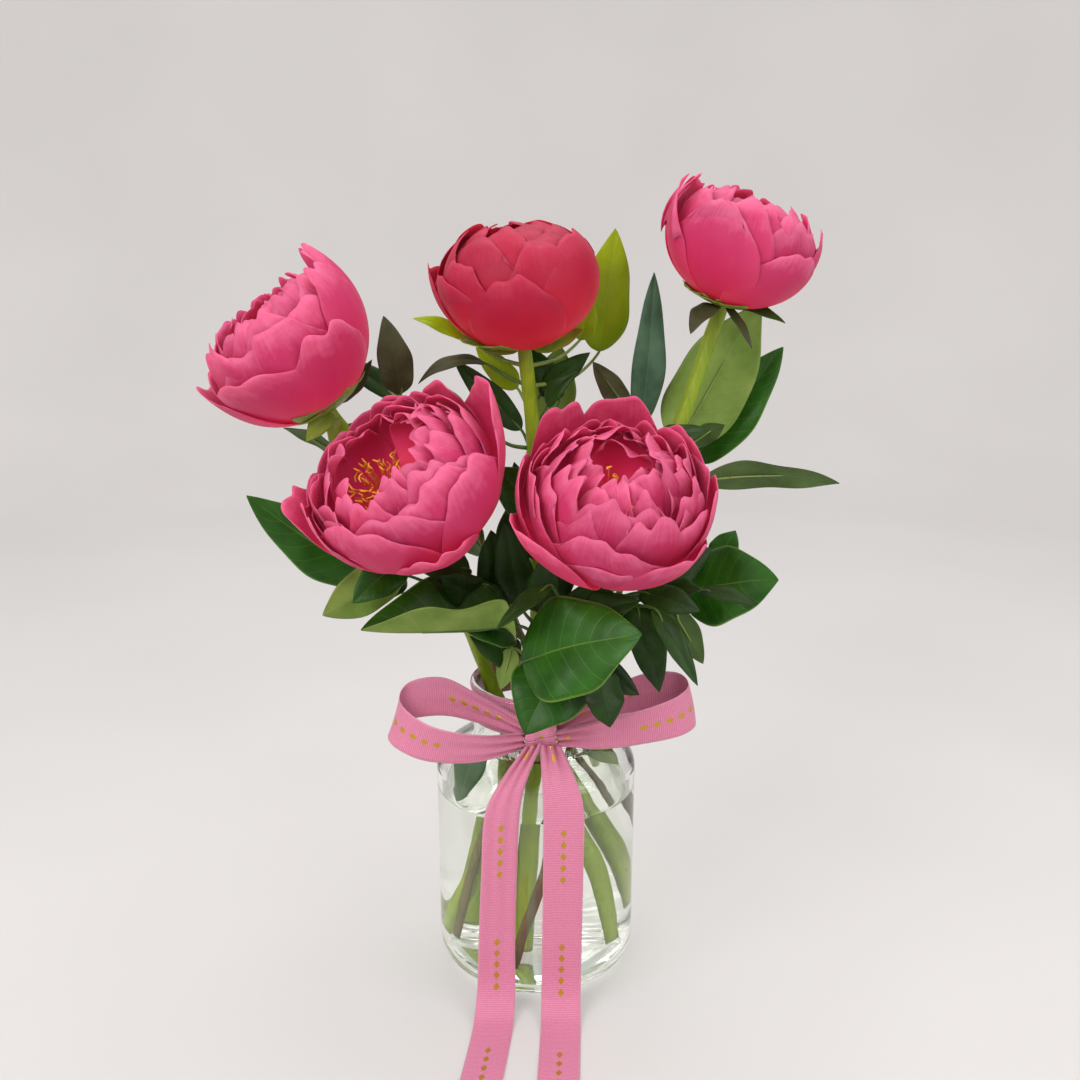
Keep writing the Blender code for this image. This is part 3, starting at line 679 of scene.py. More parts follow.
# A petal is a patch of its flower's ellipsoid. Angles are in degrees: azimuth round the flower's
# axis (-90 faces the front), tip from the foot (0) over the belly (90) to the top (180), and
# half the width. Inset, rise, tilt, flare, cup, ruffle and pinch are in mm: tilt lifts one side
# over the next petal, flare bends the tip outwards and cup lifts both sides.
petalDefaults = {"azimuth": 0, "tip": 100, "half": 40, "foot": 9, "inset": 0, "tilt": 0.8, "flare": 0,
                 "cup": -0.6, "ruffle": 0.6, "waves": 4, "notch": 0.03, "notchAt": 0.0, "frill": 0.006,
                 "round": 0.17, "twist": 0, "phase": 0, "tone": 0.5, "pinch": 0.0, "rise": 0.0,
                 "thickness": 0.35}


def petal(azimuth, tip, half, **rest):
    return {"azimuth": azimuth, "tip": tip, "half": half, **rest}


# layers: petals in the ring, inset, tip, half width, ruffle; lean: the side that reaches further;
# lengths in mm
flowers = {
    "left_peony": {
        "base": (-110, -14, 334), "axis": (-0.50, -0.15, 0.85),
        "radius": 45.5, "halfHeight": 43.0, "colour": "pink", "seed": 11,
        "lean": (0, 10),
        "guards": {"front": petal(-112, 92, 42, flare=8, cup=-3),
                   "right": petal(12, 138, 26, flare=4, round=0.45, ruffle=1.6),
                   "back": petal(106, 116, 42, flare=2),
                   "left": petal(188, 92, 36, flare=4)},
        "extras": [petal(-50, 90, 33, inset=-0.8, flare=8, cup=-4),
                   petal(-74, 111, 34, inset=1.4, cup=-1.5),
                   petal(-18, 126, 23, inset=0.2, flare=3.5, ruffle=1.3),
                   petal(38, 132, 24, inset=1.2, flare=5, ruffle=1.5)],
        "layers": [(5, 2.4, 106, 40, 0.8), (6, 4.8, 117, 35, 1.0), (7, 7.6, 127, 30, 1.3),
                   (8, 10.8, 136, 26, 1.7), (8, 14.0, 143, 24, 1.9)],
        "sepals": [petal(-45, 34, 34), petal(-110, 28, 34),
                   petal(80, 34, 30), petal(10, 28, 28)],
    },
    "top_centre_peony": {
        "base": (-6.1, -3, 366.3), "axis": (-0.10, -0.12, 0.99),
        "radius": 42.6, "halfHeight": 34.9, "colour": "coral", "seed": 5,
        "lean": (0, 3),
        "guards": {"left": petal(204, 104, 40, flare=2.2, twist=6),
                   "right": petal(-28, 134, 42),
                   "back": petal(90, 130, 46)},
        "extras": [petal(-92, 103, 34, inset=-1.1, cup=-1.2),
                   petal(-138, 118, 34, inset=0.8),
                   petal(-66, 132, 34, inset=1.1),
                   petal(172, 108, 30, inset=0.2, flare=4, ruffle=1.2)],
        "layers": [(4, 2.4, 142, 44, 0.5), (5, 4.0, 154, 40, 0.5), (5, 5.6, 163, 36, 0.6),
                   (5, 7.4, 171, 30, 0.6)],
        "sepals": [petal(205, 50, 24, flare=3),
                   petal(-75, 16, 30), petal(80, 44, 30),
                   petal(0, 25, 28)],
    },
    "top_right_peony": {
        "base": (99.9, 5, 388.4), "axis": (0.25, -0.15, 0.95),
        "radius": 41.5, "halfHeight": 35.0, "colour": "pink", "seed": 8,
        "lean": (200, 8),
        "guards": {"left": petal(190, 124, 25, flare=8, round=0.42, ruffle=1.4),
                   "right": petal(-52, 96, 40, cup=-1.5),
                   "back": petal(80, 124, 42)},
        "extras": [petal(-124, 122, 38, inset=0.6, cup=-1.5),
                   petal(160, 136, 24, inset=1.6, flare=3, round=0.4),
                   petal(-12, 115, 30, inset=0.4),
                   petal(150, 128, 28, inset=0.6, flare=2)],
        "layers": [(5, 2.4, 120, 40, 0.8), (6, 4.6, 131, 34, 1.1), (7, 7.2, 141, 29, 1.5),
                   (7, 10.2, 149, 26, 1.8)],
        "sepals": [petal(-128, 33, 28, flare=1),
                   petal(-40, 20, 28), petal(70, 42, 30),
                   petal(175, 32, 26)],
    },
    "mid_left_peony": {
        "base": (-53, -50, 274), "axis": (-0.30, -0.50, 0.81),
        "radius": 50.5, "halfHeight": 42.5, "colour": "pink", "seed": 3,
        "lean": (5, 13),
        "guards": {"front": petal(-112, 113, 40, cup=-1.5),
                   "right": petal(24, 118, 36, flare=13, ruffle=1.4),
                   "back": petal(105, 108, 40, flare=1),
                   "left": petal(184, 101, 24, flare=8, tone=1.0, ruffle=1.4)},
        "extras": [petal(-70, 89, 25, inset=-1.8, flare=11, cup=-4, tone=0.9),
                   petal(-30, 116, 32, inset=0.2, cup=-1),
                   petal(-150, 111, 32, inset=0.6, flare=1),
                   petal(60, 114, 28, inset=0.8, flare=4, ruffle=1.5),
                   petal(28, 144, 36, inset=18, rise=7, ruffle=3.0),
                   petal(-14, 146, 38, inset=21, rise=7, ruffle=3.2),
                   petal(62, 142, 38, inset=21, rise=7, ruffle=3.0),
                   petal(8, 148, 44, inset=25, rise=7, ruffle=3.2)],
        "layers": [(6, 2.6, 112, 40, 0.9), (7, 5.4, 115, 35, 1.2), (8, 8.4, 125, 30, 1.6),
                   (9, 11.6, 134, 26, 2.0), (8, 15.2, 141, 24, 2.4)],
        "sepals": [petal(-90, 36, 26, flare=1),
                   petal(20, 42, 26), petal(150, 42, 26)],
        "stamens": 60, "stamenHeight": (22, 32), "stamenSide": (168, 11),
    },
    "mid_right_peony": {
        "base": (37.4, -54, 263), "axis": (0.05, -0.50, 0.865),
        "radius": 48.5, "halfHeight": 44.5, "colour": "pink", "seed": 17,
        "lean": (-90, 4),
        "guards": {"front": petal(-96, 82, 40, cup=-1.5),
                   "right": petal(-8, 106, 36),
                   "back": petal(86, 122, 30, flare=6, ruffle=1.4),
                   "left": petal(176, 110, 36, flare=1)},
        "extras": [petal(-146, 98, 31, inset=-1.4, flare=10, cup=-3, tone=0.95),
                   petal(-52, 92, 34, inset=-0.9, flare=5, cup=-2.5),
                   petal(124, 118, 26, inset=0.2, flare=6, ruffle=1.3),
                   petal(40, 112, 32, inset=0.6, flare=1),
                   petal(100, 150, 46, inset=22, rise=9, ruffle=3.0),
                   petal(20, 148, 46, inset=22, rise=9, ruffle=3.2),
                   petal(-50, 146, 44, inset=23, rise=7, ruffle=3.0),
                   petal(172, 146, 40, inset=24, rise=8, ruffle=3.0),
                   petal(75, 156, 56, inset=29, rise=9, ruffle=3.4),
                   petal(-30, 154, 56, inset=30, rise=7, ruffle=3.4)],
        "layers": [(6, 2.6, 105, 39, 0.9), (7, 5.4, 115, 34, 1.2), (8, 8.4, 126, 30, 1.6),
                   (9, 11.6, 137, 26, 2.0), (8, 15.2, 147, 24, 2.4), (7, 19.0, 153, 23, 2.4)],
        "sepals": [petal(-90, 36, 26, flare=1),
                   petal(20, 42, 26), petal(150, 42, 26)],
        "stamens": 24, "stamenHeight": (34, 46), "stamenSide": (-112, 12),
    },
}


def flowerAxes(flower):
    up = Vector(flower["axis"]).normalized()
    right = (Vector((1, 0, 0)) - up * up.x).normalized()
    return right, up.cross(right), up


def petalPlace(flower, form):
    right, away, up = flowerAxes(flower)
    centre = Vector(flower["base"]) + up * (flower["halfHeight"] + form["rise"])
    turn = math.radians(form["azimuth"])
    outward = right * math.cos(turn) + away * math.sin(turn)
    tangent = away * math.cos(turn) - right * math.sin(turn)
    across, upright = flower["radius"] - form["inset"], flower["halfHeight"] - form["inset"]
    drift = Vector((form["phase"] * 7.1, form["azimuth"] * 0.31, form["inset"] * 1.7))

    def place(u, v):
        length = 1 - form["round"] * abs(u) ** 2.8 + form["frill"] * math.sin(8 * u + form["phase"])
        length -= form["notch"] * math.exp(-((u - form["notchAt"]) / 0.18) ** 2)
        length += 0.045 * noise.noise(Vector((u * 2.2, 0, 5)) + drift)
        reach = v * (1 + (length - 1) * v ** 3)
        width = 1.04 * math.sin(math.pi * (0.09 + 0.73 * v)) ** 0.78
        angle = math.radians(form["foot"] + (form["tip"] - form["foot"]) * reach)
        side = math.radians(form["half"]) * width * u + math.radians(form["twist"]) * v * v
        rise = math.sin(angle) * outward - math.cos(angle) * up
        way = rise * math.cos(side) + tangent * math.sin(side)
        lift = form["flare"] * v ** 4 * (1 - 0.6 * u * u) + form["cup"] * u * u * v
        lift += form["tilt"] * u * min(1, 2 * v)
        lift += form["ruffle"] * v ** 3 * math.sin(form["waves"] * u + form["phase"])
        lift -= form["pinch"] * math.exp(-(u / 0.22) ** 2) * v * (1.1 - v) * 4
        lift += 1.5 * noise.noise(Vector((u * 1.2, v * 1.7, 0)) + drift) * (0.2 + 0.8 * v)
        lift += 0.5 * noise.noise(Vector((u * 3.4, v * 3.6, 3)) + drift) * v
        flatWay = way - up * way.dot(up)
        return (centre + flatWay * (across + lift) + up * way.dot(up) * (upright + lift)) * mm

    return place


def makePetal(name, flower, form, look, columns=18, rows=16):
    full = {**petalDefaults, **form}
    piece = makeSheet(name, columns, rows, petalPlace(flower, full), full["thickness"] * mm, look)
    holder = piece.data.attributes.new("tone", "FLOAT", "POINT")
    holder.data.foreach_set("value", [full["tone"]] * len(piece.data.vertices))
    return piece


def buildHeart(name, flower):
    chance = random.Random(flower["seed"])
    look = [materials[flower["colour"] + "Petal"]]
    leanTo, leanBy = flower["lean"]
    petals = [makePetal("petal", flower, {"phase": index * 2.3, "tone": 0.6, **form}, look, 26, 22)
              for index, form in enumerate(flower["extras"])]
    for layer, (count, inset, tip, half, ruffle) in enumerate(flower["layers"]):
        start = chance.uniform(0, 360)
        for index in range(count):
            azimuth = start + 360 * (index + chance.uniform(-0.2, 0.2)) / count
            lean = leanBy * (1 - 0.15 * layer) * math.cos(math.radians(azimuth - leanTo))
            petals.append(makePetal("petal", flower, {
                "azimuth": azimuth, "tip": tip + lean + chance.uniform(-6, 5),
                "half": half * chance.uniform(0.85, 1.12), "tilt": chance.uniform(0.8, 1.8),
                "inset": inset + chance.uniform(-0.6, 0.6), "ruffle": ruffle * chance.uniform(0.5, 1.4),
                "flare": chance.uniform(-2.5, 2.5), "cup": chance.uniform(-2.5, 0.2),
                "waves": chance.uniform(2.5, 6), "notch": chance.uniform(0.0, 0.07),
                "notchAt": chance.uniform(-0.4, 0.4), "frill": chance.uniform(0.002, 0.010),
                "twist": chance.uniform(-8, 8), "phase": chance.uniform(0, 6.28),
                "pinch": chance.uniform(-0.3, 0.8), "tone": chance.uniform(0.25, 0.8)}, look))
    heart = joinPieces(name + "_inner_petals", petals)
    settle(heart, "petal_" + flower["colour"], name + "_heart")


def buildGuards(name, flower):
    look = [materials[flower["colour"] + "Petal"]]
    for index, (side, form) in enumerate(flower["guards"].items()):
        settings = {"inset": -0.4 if index % 2 else 0.8, "phase": index * 1.9, "tone": 0.6,
                    "notchAt": 0.25 - 0.2 * index}
        guard = makePetal(f"{name}_outer_petal_{side}", flower, {**settings, **form}, look, 30, 26)
        settle(guard, "petal_" + flower["colour"], f"{name}_guard_petal_{side}")


def buildSepals(name, flower):
    # round green scales that hug the flower's foot
    look = [materials["sepal"]]
    settings = {"inset": -1.0, "foot": 3, "cup": -0.3, "round": 0.45, "ruffle": 0.2, "notch": 0, "frill": 0,
                "tilt": 0.3}
    scales = [makePetal("scale", flower, {**settings, "phase": index * 2.1, **sepal}, look)
              for index, sepal in enumerate(flower["sepals"])]
    settle(joinPieces(name + "_sepals", scales), "stem_green")


stamen = {"foot": 15, "ringRadius": 3, "spread": (3, 15), "threadRadius": 0.28, "antherHalf": (0.55, 2.6)}


def buildStamens(name, flower):
    # curved filaments with twisted anthers, deep in the flower
    chance = random.Random(flower["seed"] + 100)
    right, away, up = flowerAxes(flower)
    turn = math.radians(flower["stamenSide"][0])
    shift = (right * math.cos(turn) + away * math.sin(turn)) * flower["stamenSide"][1]
    low = Vector(flower["base"]) + up * stamen["foot"] + shift
    ring, (thin, long) = stamen["ringRadius"], stamen["antherHalf"]
    threads, tips = [], []
    for index in range(flower["stamens"]):
        turn = math.tau * index / flower["stamens"] * 5.03
        outward = right * math.cos(turn) + away * math.sin(turn)
        spread = chance.uniform(*stamen["spread"])
        height = chance.uniform(*flower["stamenHeight"])
        foot = low + outward * ring
        knee = low + outward * (ring + spread * 0.35) + up * height * 0.6
        top = low + outward * (ring + spread) + up * height
        threads.append(makeTube("thread", [foot, knee, top], lambda share: stamen["threadRadius"] * mm, 6, 6))
        bpy.ops.object.select_all(action="DESELECT")
        bpy.ops.mesh.primitive_uv_sphere_add(segments=8, ring_count=8, radius=1.0)
        anther = bpy.context.object
        aim = (top - knee).normalized() + Vector([chance.uniform(-0.9, 0.9) for _ in range(3)])
        turnTo = aim.to_track_quat("Z", "Y").to_matrix()
        curl = chance.uniform(0.5, 1.4)
        for vert in anther.data.vertices:
            bend = curl * math.cos(2.2 * vert.co.z)
            shape = Vector((vert.co.x * thin + bend, vert.co.y * thin, vert.co.z * long))
            vert.co = (top + turnTo @ shape) * mm
        anther.data.shade_smooth()
        tips.append(anther)
    threads = joinPieces(name + "_filaments", threads)
    giveMaterials(threads, materials["filament"])
    tips = joinPieces(name + "_anthers", tips)
    giveMaterials(tips, materials["anther"])
    settle(threads, "petal_" + flower["colour"])
    settle(tips, "petal_" + flower["colour"])


def buildFlowers():
    for name, flower in flowers.items():
        buildHeart(name, flower)
        buildGuards(name, flower)
        buildSepals(name, flower)
        if flower.get("stamens"):
            buildStamens(name, flower)
        print(name, "ready")


# stems

# each from its cut foot upwards, in mm
stemRoutes = {
    "left_peony_stem": [(45.5, -2, 33), (26, 16, 78), (-2, 23.5, 150), (-40, 17, 220), (-82, 2, 290)],
    "top_centre_peony_stem": [(-6, 1, 10), (-3, 0, 80), (1, 0, 150), (0.5, 1, 250), (-1.5, 1, 320)],
    "top_right_peony_stem": [(-44, -6, 20), (-23, -15, 78), (2, -20.5, 150), (38, -12, 230), (76, 3, 315)],
    "mid_left_peony_stem": [(40, -23, 22), (23, 1, 70), (2, 12, 112), (-19, 11, 150), (-38, -3, 210),
                            (-47, -33, 252)],
    "mid_right_peony_stem": [(-23, 33, 12), (-20, 15, 78), (-15, -12, 150), (12, -27, 205), (33, -37, 242)],
}
# radius at the foot and at the top, route
woodyRoutes = {
    "front_foliage_stem": (2.7, 1.6, [(-41, -19, 23), (-29, -22, 78), (-11, -24, 145), (-4, -27, 176.5),
                                      (4, -38, 205), (12, -48, 230)]),
    "left_foliage_stem": (2.8, 1.6, [(48.5, 13, 60), (33, 17, 100), (10, 21.5, 150), (-24, 28, 230),
                                     (-54, 20, 315)]),
    "right_foliage_stem": (2.8, 1.6, [(-12, -33, 14), (6, -24, 78), (22.5, -7, 150), (50, 11, 230),
                                      (76, 24, 295)]),
}
stemSize = {"footRadius": 4.6, "topRadius": 3.7, "headGap": 6.5, "belowFlower": 10,
            "swell": 1.3, "swellFrom": 0.93}


def roughenStem(tube, ridge, knobs, seed):
    # shallow ribs and swellings, moved along the skin's own normals
    for vert in tube.data.vertices:
        low = noise.noise(Vector((vert.co.x, vert.co.y, vert.co.z * 0.25)) * 260 + Vector((seed, 0, 0)))
        knob = max(0.0, noise.noise(vert.co * 55 + Vector((0, seed, 0))) - 0.15)
        vert.co += vert.normal * (low * ridge + knob * knobs) * mm


def buildStems():
    for index, (name, route) in enumerate(stemRoutes.items()):
        flower = flowers[name.removesuffix("_stem")]
        up = Vector(flower["axis"]).normalized()
        base = Vector(flower["base"])
        points = route + [base - up * stemSize["belowFlower"], base + up * stemSize["headGap"]]

        def radiusAt(share):
            swell = stemSize["swell"] * smoothStep(stemSize["swellFrom"], 1.0, share)
            taper = (stemSize["topRadius"] - stemSize["footRadius"]) * share
            return (stemSize["footRadius"] + taper + swell) * mm

        tube = makeTube(name + "_skin", points, radiusAt, 90, 20)
        roughenStem(tube, 0.35, 0.8, index * 3.1)
        giveMaterials(tube, materials["greenStem"])
        settle(tube, "stem_green", name)
    for index, (name, (foot, top, route)) in enumerate(woodyRoutes.items()):
        tube = makeTube(name + "_bark", route, lambda share: (foot + (top - foot) * share) * mm, 80, 16)
        roughenStem(tube, 0.4, 2.6, 20 + index * 2.3)
        giveMaterials(tube, materials["woodyStem"])
        settle(tube, "stem_woody", name)
    print("stems ready")


# leaves

# kind: upper face, underside, stalk, record slot
leafKinds = {
    "dark": ("darkLeaf", "greyUnderside", "leafStalk", "leaf_dark"),
    "bright": ("brightLeaf", "paleUnderside", "leafStalk", "leaf_dark"),
    "deep": ("deepLeaf", "paleUnderside", "leafStalk", "leaf_dark"),
    "blue": ("blueLeaf", "greyUnderside", "leafStalk", "leaf_dark"),
    "pale": ("darkLeaf", "paleUnderside", "paleStalk", "leaf_pale"),
    "grey": ("darkLeaf", "greyUnderside", "paleStalk", "leaf_pale"),
    "olive": ("oliveLeaf", "oliveLeaf", "leafStalk", "leaf_olive"),
    "lime": ("limeLeaf", "limeLeaf", "paleStalk", "leaf_lime"),
    "sepal": ("sepal", "sepal", "paleStalk", "stem_green"),
}
# the powers make the outline full near its foot and slender at its tip
leafShape = {"thickness": 0.35, "footPower": 0.55, "tipPower": 0.90}
# base, tip, width, the way the upper face looks, arch, fold in degrees (or one for each half)
# and kind; lengths in mm
leaves = {
    "olive_leaf_left": ((-71.1, -15, 342.4), (-77.2, -25, 383.8), 21, (0.2, -1, 0.1), 3, (16, 20), "olive"),
    "grey_leaf_left": ((-105, 8, 301), (-140.1, 10, 320.1), 20, (0, 0.6, 0.8), 3, (10, 14), "grey"),
    "dark_leaf_left": ((-90, -6, 237), (-152, -35, 291), 36, (-0.45, -0.75, 0.5), 4, (12, 20), "bright"),
    "pale_leaf_low_left": ((-70.7, -42, 256), (-107.9, -70, 237.6),
                           30, (-0.1, 0.8, -0.5), 4, (20, 30), "pale"),
    "front_leaf_left": ((-10.7, -56, 227.5), (-86.5, -85, 236.4),
                        72, (-0.1, -0.5, 0.86), -5, (80, 38), "deep"),
    "narrow_leaf_front": ((7.4, -75, 255), (-18.6, -99, 240), 12, (-0.3, -0.6, 0.7), 2, 15, "dark"),
    "front_leaf_right": ((-7, -70, 212), (51.3, -100, 240), 58, (0.1, -0.82, 0.56), 4, (6, 12), "bright"),
    "dark_leaf_over_knot": ((19, -56, 211), (-5.5, -83, 178), 47, (-0.2, -0.9, 0.35), 5, (10, 12), "deep"),
    "small_leaf_over_bow": ((31, -66, 207), (37.5, -79, 180), 28, (0.5, -0.85, 0.1), 2, 12, "dark"),
    "hanging_leaf_right": ((51.5, -52, 238), (63.7, -74, 197.4), 22, (0.1, -0.9, 0.3), 4, 12, "dark"),
    "narrow_leaf_right": ((60, -66, 240), (81.5, -86, 205.8), 13, (0.2, -0.9, 0.4), 3, (20, 14), "dark"),
    "light_leaf_right": ((72, -42, 232.1), (88, -58, 206.9), 17, (0.1, 0.9, -0.4), 2, 10, "grey"),
    "broad_leaf_right": ((80, -20, 235.4), (129.3, -38, 245.6), 48, (0.1, -0.85, 0.5), 4, (8, 10), "bright"),
    "long_leaf_right": ((89.4, -6, 293), (162.9, -20, 294.7), 27, (0, 0.75, 0.66), 6, 8, "grey"),
    "large_leaf_behind_right": ((80, 20, 308), (124.8, 22, 386.8),
                                50, (-0.2, 0.95, -0.1), 4, (6, 10), "pale"),
    "folded_leaf_behind_right": ((92, 42, 295.4), (143, 44, 361.1),
                                 36, (-0.3, -0.9, 0.3), 3, (24, 14), "bright"),
    "pointed_leaf_right": ((57.7, 13, 320), (64.1, 13, 404.4), 23, (0.3, -0.95, 0), 4, (22, 8), "blue"),
    "lime_leaf_top": ((36, 33, 360), (42.2, 20, 427.3), 31, (0.2, -0.97, 0), 3, (6, 8), "lime"),
    "narrow_leaf_under_top": ((-27.1, 0, 357), (-62.5, -10, 347), 12, (0, -0.5, 0.86), 8, 12, "olive"),
    "dark_narrow_leaf_top": ((-8, 6, 319.8), (-43.3, 0, 358.6), 17, (-0.4, -0.7, 0.55), -5, 16, "dark"),
    "small_leaf_under_top": ((6, -1, 334), (22.5, -10, 354), 13, (-0.4, -0.7, 0.4), 4, 16, "dark"),
    "dark_leaf_centre": ((0, -23, 283), (-21, -35, 306), 27, (0, -0.95, 0.3), 2, 10, "deep"),
}
# smaller leaves that fill the bunch between the flowers and the neck
fillLeaves = [
    ((-74.2, 5, 336.4), (-112.1, 10, 361.9), 15, (0.2, -0.8, 0.5), 3, 14, "grey"),
    ((100.8, 0, 246.9), (111.3, 0, 264.3), 18, (0.1, -0.9, 0.2), 2, 10, "bright"),
    ((66, -40, 241.6), (85.8, -50, 244.7), 16, (0.1, -0.8, 0.6), 2, 12, "dark"),
    ((86.5, -45, 243.1), (113.9, -60, 239.7), 12, (0.1, -0.6, 0.8), 2, 14, "dark"),
    ((85.9, 10, 310.6), (103.3, 0, 323.4), 15, (0, 0.8, 0.3), 2, 10, "grey"),
    ((50.3, 0, 331.6), (30.4, 0, 357.5), 15, (0.2, 0.9, -0.2), 2, 12, "olive"),
    ((24.5, 20, 367.5), (30.4, 10, 389.7), 15, (0.1, -0.9, 0.2), 2, 10, "lime"),
    ((-35.7, 10, 368.4), (-65.3, 0, 380.8), 12, (0, -0.7, 0.7), 3, 14, "lime"),
    ((5.2, 20, 317.4), (13.5, 25, 364.3), 30, (0, 0.95, -0.1), 3, 10, "pale"),
    ((-35.8, 0, 320.6), (-52.1, 5, 344.5), 14, (-0.2, -0.9, 0.3), 2, 12, "dark"),
    ((-24.7, -5, 321.4), (-31.2, 0, 340.8), 12, (0, -0.9, 0.3), 2, 12, "dark"),
    ((-36.4, 10, 319), (-53.1, 15, 337.8), 14, (0, -0.9, 0.3), 2, 12, "grey"),
    ((-19.2, -30, 232.9), (-24.2, -30, 271.9), 24, (0.1, -0.9, 0.2), 3, 12, "dark"),
    ((-16.5, -35, 220.3), (-44.3, -50, 254.5), 26, (0, -0.9, 0.4), 3, 12, "dark"),
    ((-8.4, -30, 230), (-16.9, -40, 278.7), 24, (0.2, -0.9, 0.2), 3, 12, "dark"),
    ((5.2, -20, 223.9), (19.4, -30, 277.4), 26, (-0.2, -0.9, 0.2), 3, 12, "dark"),
    ((-30.2, -25, 237), (-54.6, -45, 231), 20, (0, -0.8, 0.6), 3, (14, 12), "dark"),
    ((13.1, -40, 207.9), (55.6, -52, 187.5), 24, (0, -0.8, 0.5), 4, 12, "dark"),
    ((34.9, -30, 224.3), (87, -30, 208.8), 25, (0, -0.8, 0.5), 4, 12, "dark"),
    ((56.4, -30, 232.9), (95.8, -20, 259.3), 24, (0.1, -0.9, 0.3), 3, 12, "dark"),
    ((-12.6, -40, 209), (-18.9, -50, 188.9), 13, (0.2, 0.9, -0.2), 1, 10, "pale"),
    ((-70.1, -30, 246.9), (-95.4, -52, 241), 22, (0, -0.8, 0.5), 2, 12, "dark"),
    ((-34.5, -40, 252.6), (-64.9, -50, 260.9), 22, (0, -0.8, 0.5), 3, 12, "dark"),
    ((28.6, -50, 228.2), (37.1, -58, 192.2), 22, (0.1, -0.9, 0.2), 3, 12, "dark"),
    ((54.5, -50, 243.6), (84.7, -60, 235.9), 19, (0, -0.8, 0.6), 3, 12, "dark"),
    ((2.4, -15, 251.1), (-12, -20, 306.7), 24, (0, -0.9, 0.2), 3, 12, "dark"),
    ((-16.8, -15, 251.1), (5.1, -10, 304.8), 24, (0, -0.9, 0.2), 3, 12, "dark"),
    ((44.9, -40, 236), (63.8, -45, 204.1), 20, (0.1, -0.9, 0.3), 3, 12, "dark"),
    ((20.9, -45, 226.5), (53.5, -62, 243.1), 22, (0, -0.8, 0.6), 3, 12, "dark"),
    ((-24, -30, 225), (-60, -52, 247), 27, (0, -0.8, 0.6), 3, 14, "dark"),
    ((-10, -35, 215), (-38, -62, 228), 22, (0, -0.8, 0.6), 3, 14, "deep"),
    ((18, -35, 220), (40, -50, 252), 26, (0, -0.9, 0.3), 3, 12, "dark"),
    ((13.4, 10, 335.7), (-4.2, 15, 365.2), 16, (0, -0.9, 0.3), 3, 12, "dark"),
    ((2.4, 10, 338.4), (29.5, 5, 362.4), 15, (0.1, -0.9, 0.3), 3, 12, "dark"),
    ((65.3, 0, 315.1), (93.8, -10, 322.3), 14, (0, -0.8, 0.5), 2, 12, "grey"),
    ((-30, 25, 245), (-70, 48, 270), 30, (-0.2, 0.8, 0.5), 4, 12, "dark"),
    ((0, 25, 235), (5, 53, 275), 34, (0, 0.8, 0.5), 4, 12, "bright"),
    ((50, 25, 240), (85, 46, 245), 32, (0.2, 0.8, 0.5), 4, 12, "bright"),
    ((-15, 25, 210), (-45, 50, 205), 28, (-0.2, 0.7, 0.6), 4, 12, "dark"),
    ((20, 20, 210), (40, 52, 205), 28, (0.2, 0.7, 0.6), 4, 12, "dark"),
    ((-50, 15, 300), (-70, 42, 330), 24, (-0.2, 0.8, 0.3), 3, 12, "dark"),
    ((15, 15, 300), (10, 45, 335), 26, (0, 0.8, 0.3), 3, 12, "dark"),
    ((-10, 12, 342), (-33, 12, 364), 16, (0, -0.9, 0.3), 2, 12, "lime"),
    ((-69, -48, 260), (-93, -68, 244), 25, (0.2, -0.85, 0.4), 3, 20, "deep"),
    ((-30, -42, 238), (-48, -64, 256), 22, (0, -0.9, 0.3), 3, 14, "dark"),
    ((2, -42, 230), (4, -56, 264), 22, (0.1, -0.9, 0.2), 3, 14, "dark"),
    ((28, -40, 226), (48, -56, 218), 22, (0.1, -0.9, 0.3), 3, 14, "deep"),
    ((-8, -30, 200), (-35, -48, 218), 20, (-0.1, -0.9, 0.4), 3, 14, "dark"),
]
# small leafy bracts that hang from under the flowers, without stalks of their own
bracts = [
    ((96.5, -1, 388), (80, -20, 374), 15, (-0.3, -0.6, 0.7), 5, 10, "olive"),
    ((101, -1, 387.5), (113, -17, 366), 6, (0.2, -0.8, 0.5), 3, 10, "olive"),
    ((104, 2, 388), (131, -12, 379), 10, (0.2, -0.6, 0.7), 3, 10, "grey"),
    ((-108.5, -15.5, 334.5), (-119.5, -28, 318.9), 13, (0.3, -0.8, 0.4), 3, 12, "sepal"),
    ((-107, -14, 333.5), (-108.5, -22, 316), 9, (0.5, -0.8, 0.2), 2, 12, "sepal"),
    ((-107, -11, 337), (-86, -12, 360), 11, (0.6, -0.7, 0), 3, 12, "olive"),
    ((-8, -6, 366), (-39, -16, 376), 15, (-0.2, -0.8, 0.6), -3, 12, "sepal"),
    ((-2, -4, 365.5), (25, -10, 376), 12, (0.2, -0.8, 0.5), -3, 12, "sepal"),
]
# leaves left on their stems inside the jar
jarLeaves = [
    ((-33, -15, 143), (-44.1, -25, 110.4), 20, (-0.2, -0.9, 0.1), 2, 10, "bright"),
    ((26, -12, 144), (47, -18, 129), 16, (0.1, 0.9, -0.1), 2, 10, "pale"),
]


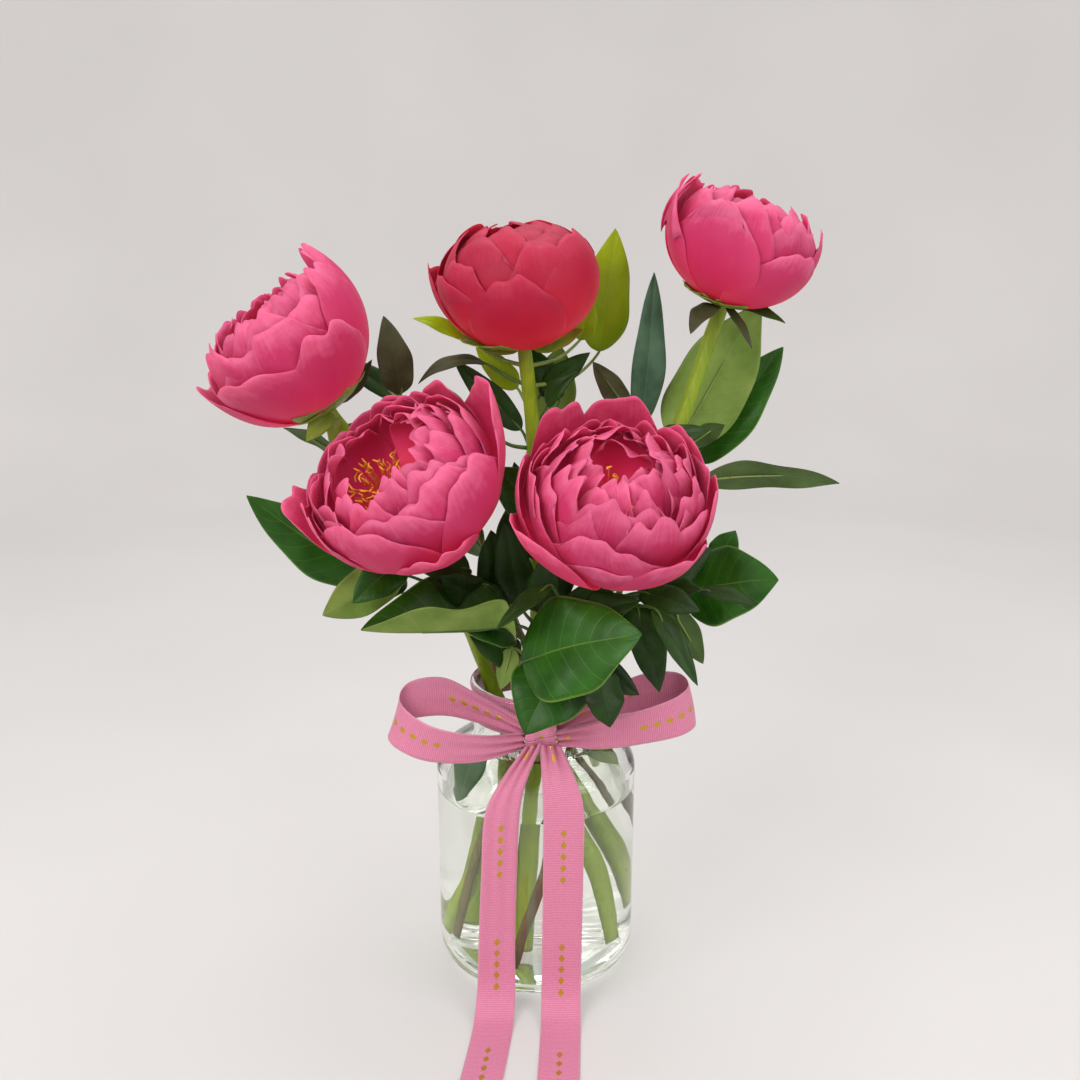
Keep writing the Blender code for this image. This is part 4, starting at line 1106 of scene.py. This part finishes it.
def leafPlace(leaf, seed):
    base, tip, width, facing, arch, fold = leaf[:6]
    leftFold, rightFold = fold if isinstance(fold, tuple) else (fold, fold)
    base, tip = Vector(base), Vector(tip)
    along = tip - base
    up = Vector(facing)
    up = (up - along * (up.dot(along) / along.length_squared)).normalized()
    side = along.normalized().cross(up)
    footPower, tipPower = leafShape["footPower"], leafShape["tipPower"]
    widest = footPower / (footPower + tipPower)
    peak = widest ** footPower * (1 - widest) ** tipPower

    def place(u, v):
        v = min(max(v, 0.004), 0.996)
        edge, hand = abs(u), (1 if u > 0 else -1)
        half = width / 2 * v ** footPower * (1 - v) ** tipPower / peak
        half *= 1 + 0.03 * math.sin(14 * v + seed + hand)
        # each half folds up from the midrib, most of it close to the rib
        fold = math.radians(rightFold if u > 0 else leftFold) * smoothStep(0, 0.15, v)
        reach = math.sqrt(u * u + 0.006) - math.sqrt(0.006)
        out, rise = hand * reach * half * math.cos(fold), reach * half * math.sin(fold)
        rise += arch * 4 * v * (1 - v) - 0.10 * width * edge ** 3 * math.sin(math.pi * v)
        rise += 0.05 * width * math.sin(10 * v + seed + 1.5 * (u > 0)) * edge ** 2 * math.sin(math.pi * v)
        rise -= 0.010 * width * math.cos((8 * v - 1.6 * edge ** 1.25) * math.tau) * edge * (1 - edge)
        sway = 0.03 * width * math.sin(4 * v + seed) * v
        return (base + along * v + up * rise + side * (out + sway)) * mm

    return place


def nearestStem(base):
    # the closest place on any stem that lies lower than the leaf's base, in mm
    best, found = math.inf, base
    routes = [route + [flowers[name.removesuffix("_stem")]["base"]] for name, route in stemRoutes.items()]
    for route in routes + [points for _, _, points in woodyRoutes.values()]:
        for step in range(61):
            spot = through(route, step / 60)
            cost = (spot - base).length + 2.0 * max(0, spot.z - base.z + 12)
            if cost < best:
                best, found = cost, spot
    return found


def makeLeaf(name, leaf, seed, columns=18, rows=36):
    top, under, skin = leafKinds[leaf[6]][:3]
    place = leafPlace(leaf, seed)
    looks = [materials[top], materials[under]]
    blade = makeSheet(name, columns, rows, place, leafShape["thickness"] * mm, looks)
    # the stalk runs from its stem into the midrib and fades out under the blade
    below = -Vector(leaf[3]).normalized()
    ribFoot, ribMiddle, ribTop = [place(0, share) / mm for share in (0.15, 0.25, 0.60)]
    base = Vector(leaf[0]) + below * 0.3
    start = nearestStem(base)
    ahead = (ribFoot - base).normalized()
    gap = (base - start).length
    sag = start.lerp(base, 0.6) - ahead * gap * 0.10 - Vector((0, 0, gap * 0.05))
    stalk = makeTube("stalk", [start, sag, base, ribMiddle + below * 0.8, ribTop + below * 0.35],
                     lambda share: (0.35 + 0.95 * (1 - share) ** 1.2) * mm, 24, 8)
    giveMaterials(stalk, materials[skin])
    return joinPieces(name, [blade, stalk])


def makeBract(leaf, seed):
    top, under = leafKinds[leaf[6]][:2]
    looks = [materials[top], materials[under]]
    return makeSheet("bract", 12, 20, leafPlace(leaf, seed), leafShape["thickness"] * mm, looks)


def buildLeaves():
    for index, (name, leaf) in enumerate(leaves.items()):
        piece = makeLeaf(name + "_blade", leaf, index * 1.7)
        settle(piece, leafKinds[leaf[6]][3], name)
    for name, group in (("filling_leaves", fillLeaves), ("leaves_inside_jar", jarLeaves)):
        made = [makeLeaf("leaf", leaf, 40 + index * 2.3, 14, 26) for index, leaf in enumerate(group)]
        settle(joinPieces(name, made), "leaf_dark")
    made = [makeBract(leaf, index * 1.3) for index, leaf in enumerate(bracts)]
    settle(joinPieces("hanging_bracts", made), "stem_green")
    print("leaves ready")


buildStudio()
buildJar()
buildRibbon()
buildFlowers()
buildStems()
buildLeaves()
